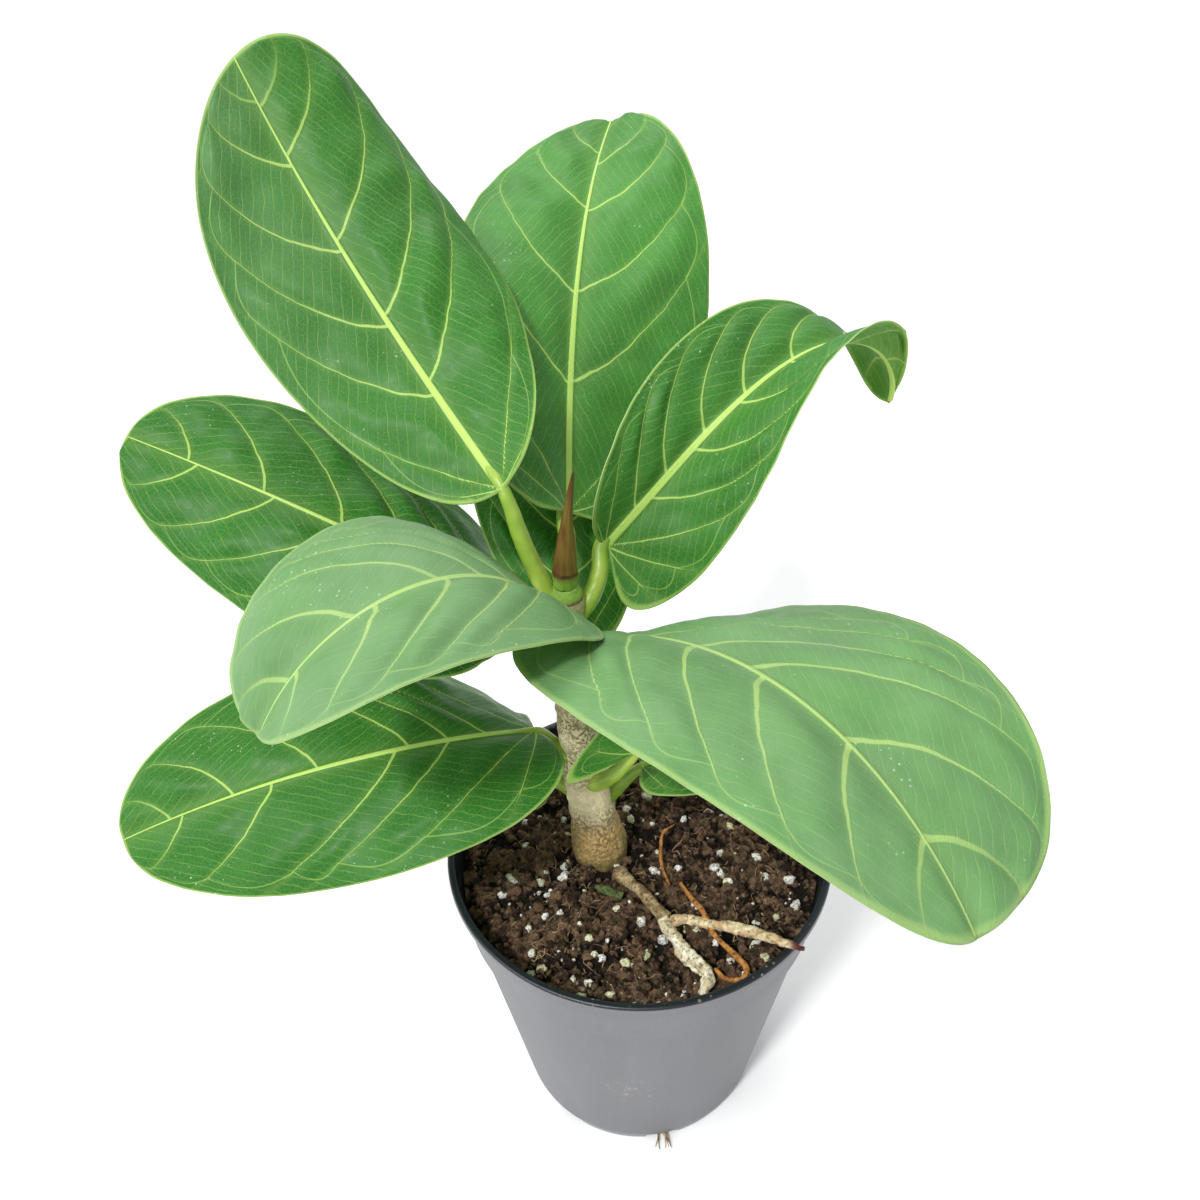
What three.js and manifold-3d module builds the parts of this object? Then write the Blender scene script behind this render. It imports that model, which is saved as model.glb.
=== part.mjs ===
// A potted bengal fig: a rooted cutting with eleven leaves in a round nursery pot.
// Millimetres, +Z up. The origin is the centre of the pot's foot, on the surface the pot stands on.
import * as THREE from 'three';
import { mergeVertices } from 'three/addons/utils/BufferGeometryUtils.js';
import Module from 'manifold-3d';

const wasm = await Module();
wasm.setup();

// ---------------------------------------------------------------- driving dimensions

const gap = 0.3;                  // clearance between pieces that touch in the real plant

const potHeight = 108;
const rimRadius = 60;
const footRadius = 42;
const wall = 1.4;
const collarHeight = 21;
const collarStep = 1.3;           // how far the collar stands out of the body
const lipHeight = 3;
const lipOut = 0.8;
const footHeight = 3;
const floorLift = 3;              // the floor stands this far above the surface
const padRadius = 13;             // central pad, level with the foot ring
const drainCount = 8;
const drainTurn = 10.5;           // degrees from the front to the first drain
const drainWidth = 9;
const notchHeight = 3.2;

const soilTop = 99;
const soilCrown = 2;              // how much the soil rises towards the middle
const soilGap = 0.4;

const trunkBase = 9;              // trunk radius at the soil
const trunkTop = 4.3;
const trunkSides = 14;
const rootSides = 7;

const bladeThickness = 0.8;
const bladeSteps = [9, 6];         // squares along and across a blade
const stalkRadius = 2.6;
const midribRadius = 1.5;
const tipRadius = 0.5;            // radius of the midrib where it runs out
const keelDepth = 0.05;           // the top of the midrib lies this far below the middle of the blade

// ---------------------------------------------------------------- small helpers

const degrees = Math.PI / 180;
const V = (x, y, z) => new THREE.Vector3(x, y, z);
const mix = (a, b, t) => a + (b - a) * t;

function solidOf(geometry) {
  const bare = geometry.clone();
  bare.deleteAttribute('normal');
  bare.deleteAttribute('uv');
  const merged = mergeVertices(bare, 1e-4);
  return new wasm.Manifold(new wasm.Mesh({
    numProp: 3,
    vertProperties: new Float32Array(merged.attributes.position.array),
    triVerts: new Uint32Array(merged.index.array),
  }));
}

function geometryOf(solid) {
  const mesh = solid.getMesh();
  const geometry = new THREE.BufferGeometry();
  geometry.setAttribute('position', new THREE.BufferAttribute(new Float32Array(mesh.vertProperties), 3));
  geometry.setIndex(new THREE.BufferAttribute(new Uint32Array(mesh.triVerts), 1));
  geometry.computeVertexNormals();
  return geometry;
}

// A profile of [radius, height] pairs turned about the Z axis.
function turned(profile, segments) {
  const points = profile.map(([r, z]) => new THREE.Vector2(r, z));
  return new THREE.LatheGeometry(points, segments).rotateX(Math.PI / 2);
}

// A straight rod bent along a curve, with its radius given as a function of 0..1 along it.
function bentRod(curve, radiusAt, sides, steps) {
  const rod = new THREE.CylinderGeometry(1, 1, 1, sides, steps).rotateX(Math.PI / 2);
  const frames = curve.computeFrenetFrames(steps);
  const place = rod.attributes.position;
  for (let i = 0; i < place.count; i += 1) {
    const t = Math.min(1, Math.max(0, place.getZ(i) + 0.5));
    const step = Math.round(t * steps);
    const radius = radiusAt(t);
    const point = curve.getPointAt(t)
      .addScaledVector(frames.normals[step], place.getX(i) * radius)
      .addScaledVector(frames.binormals[step], place.getY(i) * radius);
    place.setXYZ(i, point.x, point.y, point.z);
  }
  return rod;
}

// Radii at even steps along a rod, joined by straight tapers.
function tapered(...radii) {
  return (t) => {
    const at = t * (radii.length - 1);
    const low = Math.min(radii.length - 2, Math.floor(at));
    return mix(radii[low], radii[low + 1], at - low);
  };
}

const path = (...points) => new THREE.CatmullRomCurve3(points.map(([x, y, z]) => V(x, y, z)));

// ---------------------------------------------------------------- finishes

const finish = (colour, roughness, metalness = 0) =>
  new THREE.MeshStandardMaterial({ color: new THREE.Color(...colour), roughness, metalness });

const greyPlastic = finish([0.28, 0.28, 0.31], 0.45);
const peat = finish([0.05, 0.03, 0.02], 0.95);
const bark = finish([0.52, 0.42, 0.28], 0.8);
const sheathSkin = finish([0.32, 0.16, 0.08], 0.35);
const leafGreen = finish([0.04, 0.18, 0.05], 0.35);
const rootSkin = finish([0.55, 0.42, 0.25], 0.8);
const rootTip = finish([0.85, 0.8, 0.7], 0.7);
const orangeRoot = finish([0.62, 0.3, 0.1], 0.6);
const mossyGreen = finish([0.24, 0.3, 0.1], 0.7);

const plant = new THREE.Group();

function add(name, geometry, material) {
  const mesh = new THREE.Mesh(geometry, material);
  mesh.name = name;
  plant.add(mesh);
}

// ---------------------------------------------------------------- pot

// Outer radius of the body, from the foot up to just under the collar.
const bodyTop = rimRadius - lipOut - collarStep - 3;
const bodyRadius = (z) => mix(footRadius, bodyTop, (z - footHeight) / (potHeight - collarHeight - footHeight));
const collarFoot = bodyTop + collarStep;
const innerRadius = (z) => (z > potHeight - collarHeight
  ? mix(collarFoot, rimRadius - lipOut, (z - potHeight + collarHeight) / collarHeight)
  : bodyRadius(z)) - wall;

function pot() {
  const collarZ = potHeight - collarHeight;
  const shell = solidOf(turned([
    [0, 0],
    [padRadius, 0],
    [padRadius + 1, floorLift - 1],
    [footRadius - 5, floorLift - 1],
    [footRadius - 4, 0],
    [footRadius - 1, 0],
    [footRadius, footHeight],
    [bodyTop, collarZ - 0.8],
    [collarFoot, collarZ],
    [rimRadius - lipOut, potHeight - lipHeight],
    [rimRadius, potHeight - lipHeight + 0.6],
    [rimRadius, potHeight - 0.6],
    [rimRadius - 0.6, potHeight],
    [rimRadius - lipOut - wall + 0.4, potHeight],
    [innerRadius(potHeight - 0.5), potHeight - 0.6],
    [innerRadius(collarZ + 0.1), collarZ],
    [innerRadius(collarZ - 1), collarZ - 1],
    [innerRadius(footHeight + wall + 2), footHeight + wall + 2],
    [footRadius - wall - 2, floorLift + wall],
    [0, floorLift + wall],
  ], 48));
  let body = shell;
  for (let i = 0; i < drainCount; i += 1) {
    const turn = (i * 360 / drainCount + drainTurn - 90) * degrees;
    // A slot through the floor beside the foot, and a notch that lets the water out under the foot ring.
    const slot = new THREE.BoxGeometry(8, drainWidth - 2, 12).translate(footRadius - 10, 0, 4).rotateZ(turn);
    const notch = new THREE.BoxGeometry(12, drainWidth, 2 * notchHeight).translate(footRadius - 1, 0, 0).rotateZ(turn);
    body = body.subtract(solidOf(slot)).subtract(solidOf(notch));
  }
  return body;
}

// ---------------------------------------------------------------- trunk and roots

// The trunk leans a little to the left as it climbs out of the soil.
const trunkPath = path(
  [-11, 3, 78],
  [-12.5, 2, 98],
  [-15.5, 1.2, 126],
  [-17.8, 0.6, 152],
  [-18.8, 0.2, 180],
  [-19.3, 0, 204.5],
);
const trunkRadius = tapered(6, 7.4, trunkBase, 7, 6.5, 7, 5.8, 5.2, 5, 4.7, trunkTop);

// Woody roots that spread through the soil from the foot of the trunk.
const buriedRoots = [
  [path([-11, 3, 84], [-24, 8, 72], [-36, 16, 52], [-34, 22, 30]), tapered(3.4, 2.4, 1.6, 1)],
  [path([-11, 3, 84], [-14, -12, 70], [-16, -28, 50], [-8, -32, 26]), tapered(3, 2.2, 1.5, 1)],
  [path([-11, 3, 84], [2, 14, 72], [16, 26, 52], [22, 24, 28]), tapered(3.2, 2.2, 1.5, 1)],
  [path([-11, 3, 86], [4, 0, 70], [20, -6, 50], [28, -10, 26]), tapered(3.2, 2.4, 1.6, 1)],
  [path([-11, 3, 84], [-10, 6, 60], [-6, 4, 38], [-2, 2, 18]), tapered(3.6, 2.6, 1.8, 1)],
];

function trunkSolid(grow) {
  let wood = solidOf(bentRod(trunkPath, (t) => trunkRadius(t) + grow, trunkSides, 20));
  for (const [line, radius] of buriedRoots) {
    wood = wood.add(solidOf(bentRod(line, (t) => radius(t) + grow, rootSides, 9)));
  }
  return wood;
}

// Roots that lie on the soil. Each starts where another ends, a small gap away. A course is a list of
// [x, y, clearance] with the clearance counted from the soil to the underside of the root.
const soilHeight = (r) => soilTop + soilCrown * Math.cos(Math.min(1, r / 56) * Math.PI / 2);

function lyingRoot(course, radii) {
  const last = course.length - 1;
  const radius = tapered(...radii);
  const points = course.map(([x, y, clearance], i) =>
    [x, y, soilHeight(Math.hypot(x, y)) + radius(i / last) + clearance]);
  return bentRod(path(...points), radius, rootSides, 14);
}

const surfaceRoots = {
  root_main: {
    course: [[-5.4, -10.8, 1], [-3, -14.2, 0.6], [3.4, -21.6, 0.6], [6.6, -26.4, 0.8]],
    radii: [2.3, 2, 1.7, 1.8],
    skin: rootSkin,
  },
  root_fork: {
    course: [[7.4, -28.9, 0.8], [10, -34, 0.6], [13.6, -40, 0.6], [19.2, -47, 0.6], [17.4, -51, 0.6]],
    radii: [1.8, 2.1, 2, 1.6, 0.8],
    skin: rootTip,
  },
  root_side: {
    course: [[10.4, -28.4, 1.4], [18, -29.8, 2], [26.5, -32.4, 3.6], [35, -37, 7], [45.4, -43.8, 12]],
    radii: [1.5, 1.6, 1.5, 1.4, 0.8],
    skin: rootSkin,
  },
  root_loop: {
    course: [[17.2, -18, 0.6], [18.2, -23.6, 0.6], [25.5, -37.4, 0.6], [29.6, -43, 0.6], [27.4, -47, 0.6],
      [22.8, -45, 0.6]],
    radii: [0.8, 0.9, 0.9, 0.8, 0.6],
    skin: orangeRoot,
  },
  root_thin: {
    course: [[6.2, 4, 0.5], [8.4, -3, 0.5], [8.2, -9.5, 0.5], [6.6, -15.4, 0.5]],
    radii: [0.5, 0.7, 0.7, 0.5],
    skin: orangeRoot,
  },
  root_green_stub: {
    course: [[-13.4, -14.8, 0.5], [-9.6, -16.8, 0.5], [-5.8, -18.6, 0.5]],
    radii: [1, 1.5, 1],
    skin: mossyGreen,
  },
};

// A tuft of root that has grown out through one drain at the front.
function drainRoot() {
  const turn = (drainTurn - 90) * degrees;
  const out = (r, z, side) => [r * Math.cos(turn) - side * Math.sin(turn), r * Math.sin(turn) + side * Math.cos(turn), z];
  const line = path(out(footRadius - 10.5, 2.8, 0), out(footRadius - 6, 1.7, 0.5), out(footRadius + 1.6, 1.3, 0));
  return bentRod(line, tapered(1, 1.2, 1.1, 0.8), rootSides, 8);
}

// ---------------------------------------------------------------- soil

function soil() {
  const profile = [[0, floorLift + wall + soilGap]];
  profile.push([footRadius - wall - 2.6, floorLift + wall + soilGap]);
  for (const z of [8, 47, 86]) profile.push([innerRadius(z) - soilGap, z]);
  profile.push([innerRadius(88) - soilGap, 88.4]);
  profile.push([innerRadius(soilTop) - soilGap, soilTop]);
  for (const r of [46, 34, 20, 0]) profile.push([r, soilHeight(r)]);
  return solidOf(turned(profile, 40)).subtract(trunkSolid(gap));
}

// ---------------------------------------------------------------- leaves

// Each leaf is given by where its blade meets its stalk, the way its midrib sets off and bends, how the
// blade rolls about the midrib, and three half-widths on each side.
//   base         point where stalk and blade meet
//   heading      compass turn of the midrib at the base and at the tip, degrees from +X towards +Y
//   rise         slope of the midrib at the base and at the tip, and how late the change comes
//   roll         turn of the blade about the midrib at base and tip, and how late the change comes
//   left, right  half-widths towards the base, in the middle and towards the tip
//   cup          degrees that each half bends down from midrib to edge, and how that grows to the tip
//   fold         degrees that both halves rise at the midrib
//   lobes        how far the two base lobes reach back past the stalk
//   skew         how far the left half runs ahead of the right at the tip
//   stalk        where the stalk leaves the trunk, and points it passes
//   steps        squares along and across the blade, where it bends too tightly for the usual ones
const leaves = {
  leaf_tall_left: {
    base: [-34.4, 5.8, 230], length: 132, heading: [129, 141], rise: [27, 58, 1.2], roll: [-41, -33, 0.8],
    left: [24, 34, 36], right: [29, 38, 47], cup: [-13, 48, 1.7], fold: 6, lobes: [13, 3], skew: -16,
    stalk: [[-20.6, 0, 197], [-24.5, 0.6, 203], [-29.6, 3, 215.5]],
  },
  leaf_tall_back: {
    base: [-19.3, 24, 212], length: 150, heading: [92, 80], rise: [45, 14, 1.05], roll: [50, -9, 0.9],
    left: [39, 39, 34], right: [41, 42, 38], cup: [40, 20, 1.2], fold: 14, lobes: [29, 30], skew: 1,
    stalk: [[-20, 1.6, 197.5], [-20, 9, 201.5], [-19.6, 17, 206.5]],
  },
  leaf_curled_right: {
    base: [-9, 11, 209.5], length: 122.5, heading: [27, 34], rise: [42, -100, 3.1], roll: [78, -51, 1.05],
    left: [21, 24, 18], right: [25, 32, 6], cup: [-21, -32, 1.1], fold: 16, lobes: [12, 52], skew: 5,
    steps: [18, 14],
    stalk: [[-17.6, 0.2, 193.6], [-13, 3.4, 198.4], [-10.6, 7.6, 204.2]],
  },
  leaf_side_left: {
    base: [-35.5, 12, 189], length: 120, heading: [168, 159], rise: [24, 10, 1.1], roll: [22, -34, 0.6],
    left: [41, 34, 30], right: [39, 37, 33], cup: [56, 17, 1.1], fold: 0, lobes: [34, 33], skew: 0,
    stalk: [[-19.4, 1, 184], [-24, 3.4, 184.6], [-30.4, 8.6, 186.4]],
  },
  leaf_front_left: {
    base: [-26, -8, 207.5], length: 87, heading: [224, 219], rise: [52, -59, 1.08], roll: [2, 2, 1],
    left: [35, 34, 23], right: [37, 36, 34], cup: [38, 24, 1], fold: 13, lobes: [28, 36], skew: -1,
    stalk: [[-19.4, -0.6, 192], [-22.6, -3.4, 195.4], [-25, -6.4, 202]],
  },
  leaf_front_right: {
    base: [-10.6, -2.7, 190.4], length: 130, heading: [-43, -60], rise: [31, -43, 1.4], roll: [-33, -6, 0.6],
    left: [47, 49, 52], right: [44, 46, 27], cup: [-4, 43, 1], fold: 6, lobes: [44, 27], skew: 0,
    stalk: [[-18.4, 0, 176.5], [-14.4, -1.8, 179.5], [-12, -2.6, 185.6]],
  },
  leaf_middle_back: {
    base: [-17.5, 8, 177], length: 104, heading: [98, 93], rise: [45, 17, 1], roll: [0, 0, 1],
    left: [15, 32, 30], right: [17, 25, 24], cup: [22, 22, 1], fold: 8, lobes: [8, 16], skew: 0,
    stalk: [[-18.2, 1, 166.5], [-18, 4.6, 169], [-17.8, 7, 173]],
  },
  leaf_low_left: {
    base: [-30.6, 3.3, 150.5], length: 121, heading: [201, 187], rise: [16, -26, 0.8], roll: [21, -42, 0.64],
    left: [43, 32, 32], right: [40, 42, 32], cup: [28, 23, 1.1], fold: 2, lobes: [30, 31], skew: -1,
    stalk: [[-18.4, -2.6, 146], [-22.6, -2.4, 147], [-27, 0.6, 148.8]],
  },
  leaf_low_front: {
    base: [-0.2, -12, 155.7], length: 62, heading: [36, 21.5], rise: [26, -1, 1], roll: [60, -1, 0.8],
    left: [10, 18, 12], right: [6, 17, 18], cup: [-10, 20, 1], fold: 2, lobes: [61, 5], skew: 0,
    stalk: [[-15, -1.6, 134], [-12.2, -6, 137.8], [-6, -10.2, 147]],
  },
  leaf_low_right: {
    base: [0.3, 2, 137.5], length: 70, heading: [10, 0], rise: [18, -8, 1], roll: [5, 0, 1],
    left: [24, 24, 20], right: [16, 18, 18], cup: [22, 22, 1], fold: 5, lobes: [22, 20], skew: 0,
    stalk: [[-14.6, 1.4, 120], [-9.4, 2.6, 123.4], [-4.4, 2.6, 130.6]],
  },
  leaf_low_back: {
    base: [-28.5, 3, 132.2], length: 62, heading: [178, 184], rise: [14, -10, 1], roll: [5, 0, 1],
    left: [20, 21, 15], right: [20, 21, 15], cup: [20, 20, 1], fold: 5, lobes: [18, 18], skew: 0,
    stalk: [[-16, 1.4, 124.6], [-20.4, 1.8, 126.6], [-24.8, 2.4, 129.6]],
  },
};

const widthAt = (t, [a, b, c]) => a * (1 - t) ** 2 + 2 * b * t * (1 - t) + c * t * t;
const changing = (t, [a, b, late = 1]) => mix(a, b, t ** late) * degrees;

// Directions at a point of the midrib: along it, to the left across the blade, and up out of the blade.
function midribFrame(leaf, t) {
  const heading = changing(t, leaf.heading);
  const rise = changing(t, leaf.rise);
  const roll = changing(t, leaf.roll);
  const along = V(Math.cos(rise) * Math.cos(heading), Math.cos(rise) * Math.sin(heading), Math.sin(rise));
  const level = V(-Math.sin(heading), Math.cos(heading), 0);
  const above = along.clone().cross(level);
  const left = level.clone().multiplyScalar(Math.cos(roll)).addScaledVector(above, Math.sin(roll));
  const up = above.multiplyScalar(Math.cos(roll)).addScaledVector(level, -Math.sin(roll));
  return { along, left, up };
}

const midribSteps = 60;

function midribOf(leaf) {
  const points = [V(...leaf.base)];
  for (let i = 1; i <= midribSteps; i += 1) {
    const { along } = midribFrame(leaf, (i - 0.5) / midribSteps);
    points.push(points[i - 1].clone().addScaledVector(along, leaf.length / midribSteps));
  }
  return points;
}

function alongMidrib(points, t) {
  const at = Math.min(1, Math.max(0, t)) * midribSteps;
  const low = Math.min(midribSteps - 1, Math.floor(at));
  return points[low].clone().lerp(points[low + 1], at - low);
}

// A point of the blade: a and b run from -1 to 1 along and across a square that is first rounded to a
// disc and then stretched to the leaf's outline; lift is the distance out of the blade.
function bladePoint(leaf, midrib, a, b, lift) {
  const x = a * Math.sqrt(1 - b * b / 2);
  const y = b * Math.sqrt(1 - a * a / 2);
  const t = (x + 1) / 2;
  const side = y > 0 ? 0 : 1;
  const reach = leaf.lobes[side] * Math.abs(y) ** 1.5 * (1 - t) ** 1.5;
  const forward = t * leaf.length - reach + leaf.skew * y * t ** 3;
  const width = Math.abs(y) * widthAt(t, side === 0 ? leaf.left : leaf.right);
  const middle = (leaf.left[1] + leaf.right[1]) / 2;
  const s = Math.min(1, Math.max(0, forward / leaf.length));
  const bend = leaf.cup[side] * degrees / middle * mix(1, leaf.cup[2], s);
  const turn = bend * width;
  const out = Math.abs(turn) < 1e-4 ? width : Math.sin(turn) / bend;
  const down = Math.abs(turn) < 1e-4 ? 0 : (1 - Math.cos(turn)) / bend;
  const fold = leaf.fold * degrees;
  const sideways = out * Math.cos(fold) + down * Math.sin(fold);
  const upward = out * Math.sin(fold) - down * Math.cos(fold);
  const { along, left, up } = midribFrame(leaf, s);
  const sign = side === 0 ? 1 : -1;
  const slope = y === 0 ? 0 : fold - turn;
  const normal = up.clone().multiplyScalar(Math.cos(slope)).addScaledVector(left, -sign * Math.sin(slope));
  return alongMidrib(midrib, s)
    .addScaledVector(along, Math.min(0, forward) + Math.max(0, forward - leaf.length))
    .addScaledVector(left, sign * sideways)
    .addScaledVector(up, upward)
    .addScaledVector(normal, lift);
}

// Splits the squares of a thin box's lower side along the same diagonals as its upper side, so that the
// two sides stay parallel when the box is bent.
function matchDiagonals(box) {
  const { start, count } = box.groups[5];
  for (let i = start; i < start + count; i += 6) {
    const [a, b, d, , c] = box.index.array.slice(i, i + 6);
    box.index.array.set([a, b, c, a, c, d], i);
  }
}

function blade(leaf, midrib) {
  const sheet = new THREE.BoxGeometry(2, 2, bladeThickness, ...(leaf.steps ?? bladeSteps), 1);
  matchDiagonals(sheet);
  const place = sheet.attributes.position;
  for (let i = 0; i < place.count; i += 1) {
    const point = bladePoint(leaf, midrib, place.getX(i), place.getY(i), place.getZ(i));
    place.setXYZ(i, point.x, point.y, point.z);
  }
  return solidOf(sheet);
}

// The stalk runs on as the midrib, under the blade, and thins towards the tip.
function stalk(leaf, midrib) {
  const keelStations = [0, 0.2, 0.4, 0.6, 0.75];
  const points = leaf.stalk.map((p) => V(...p));
  const stalkPoints = points.length + 1;
  for (const t of keelStations) {
    const { up } = midribFrame(leaf, t);
    points.push(alongMidrib(midrib, t).addScaledVector(up, -keelDepth - mix(midribRadius, tipRadius, t)));
  }
  const line = new THREE.CatmullRomCurve3(points);
  const stalkShare = stalkPoints / points.length;
  const radius = (t) => (t < stalkShare
    ? mix(stalkRadius, midribRadius, t / stalkShare)
    : mix(midribRadius, tipRadius, (t - stalkShare) / (1 - stalkShare)));
  return solidOf(bentRod(line, radius, 6, 14));
}

function leafSolid(leaf) {
  const midrib = midribOf(leaf);
  return blade(leaf, midrib).add(stalk(leaf, midrib));
}

// ---------------------------------------------------------------- growing tip

// The pointed sheath round the next leaf, standing on the end of the trunk.
function sheath() {
  const line = path([-19.3, 0, 205], [-18.9, 0, 213], [-17.8, 0, 226], [-16, 0, 238]);
  return bentRod(line, tapered(3.1, 3.3, 2.6, 1.8, 1.1, 0.3), 10, 12);
}

// ---------------------------------------------------------------- assembly

const trunk = trunkSolid(0);
const trunkWithGap = solidOf(bentRod(trunkPath, (t) => trunkRadius(t) + gap, trunkSides, 20));

add('pot', geometryOf(pot()), greyPlastic);
add('soil', geometryOf(soil()), peat);
add('trunk', geometryOf(trunk), bark);

for (const [name, leaf] of Object.entries(leaves)) {
  add(name, geometryOf(leafSolid(leaf).subtract(trunkWithGap)), leafGreen);
}

add('growing_tip_sheath', sheath(), sheathSkin);

for (const [name, root] of Object.entries(surfaceRoots)) {
  add(name, lyingRoot(root.course, root.radii), root.skin);
}

add('root_at_drain', drainRoot(), rootTip);

export default plant;
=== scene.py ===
"""A young fig in a nursery pot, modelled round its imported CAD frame.

Lengths in the tables and settings are millimetres; the meshes are made in millimetres and turned into
metres as they become pieces. +Z is up, and the origin is the centre of the pot's foot.
"""
import math
import random

import bmesh
import bpy
import numpy as np
from mathutils import Matrix, Vector, noise


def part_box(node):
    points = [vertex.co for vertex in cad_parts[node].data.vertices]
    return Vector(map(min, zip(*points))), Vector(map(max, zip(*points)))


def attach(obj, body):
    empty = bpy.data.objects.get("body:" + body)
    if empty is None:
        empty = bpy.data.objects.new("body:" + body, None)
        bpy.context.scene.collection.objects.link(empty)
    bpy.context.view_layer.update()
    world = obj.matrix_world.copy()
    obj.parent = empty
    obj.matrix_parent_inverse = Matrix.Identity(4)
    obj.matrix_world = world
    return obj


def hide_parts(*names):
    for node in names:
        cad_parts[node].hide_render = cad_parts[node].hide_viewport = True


bl_info = {
    "name": "Potted Fig Builder",
    "version": (1, 0, 0),
    "blender": (4, 5, 0),
    "location": "3D View > Sidebar > Fig",
    "description": "Builds a young fig with its leaves, stem, roots, soil and nursery pot",
    "category": "Object",
}

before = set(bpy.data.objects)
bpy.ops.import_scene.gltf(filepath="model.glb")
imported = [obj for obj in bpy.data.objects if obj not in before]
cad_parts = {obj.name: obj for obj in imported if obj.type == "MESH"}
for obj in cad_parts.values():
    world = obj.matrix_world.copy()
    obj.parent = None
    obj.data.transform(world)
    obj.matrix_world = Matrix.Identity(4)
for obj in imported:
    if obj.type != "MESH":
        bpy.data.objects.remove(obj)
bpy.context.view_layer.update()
POT_LOW, POT_HIGH = (corner * 1000 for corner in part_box("pot"))
MM = 0.001

# The camera: its place in metres, its tilt in degrees, its lens and sensor in millimetres, and how far
# the frame is shifted sideways, as a share of its width.
CAMERA_PLACE = (0, -0.21397, 0.35765)
CAMERA_TILT = 53.6
CAMERA_LENS = 30.54
CAMERA_SENSOR = 36.0
CAMERA_SHIFT = -1 / 30

# Drains in the foot ring, each with a slot in the floor between the two slot radii. A point of the foot
# ring lies beyond FOOT_RING, and a notch is cut to its full height beyond NOTCH_START.
DRAINS = 8
DRAIN_STEP = 360 / DRAINS
SLOT_INNER, SLOT_OUTER = 28, 36
FOOT_RING, NOTCH_START = 36.5, 37.5

# The soil's radius at the pot's floor, under the collar, inside the collar and at the rim.
SOIL_RADII = (40.4, 52.9, 54.2, 57.4)
FLOOR_HEIGHT = 8
COLLAR_DEPTH = 21
# Heights of the rings down the soil's side, each with how far it is drawn in.
SOIL_RINGS = ((86, 0), (47, 0), (8, 0), (5, 3))
SOIL_SEED = 11
TUFT_SEED = 5

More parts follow.
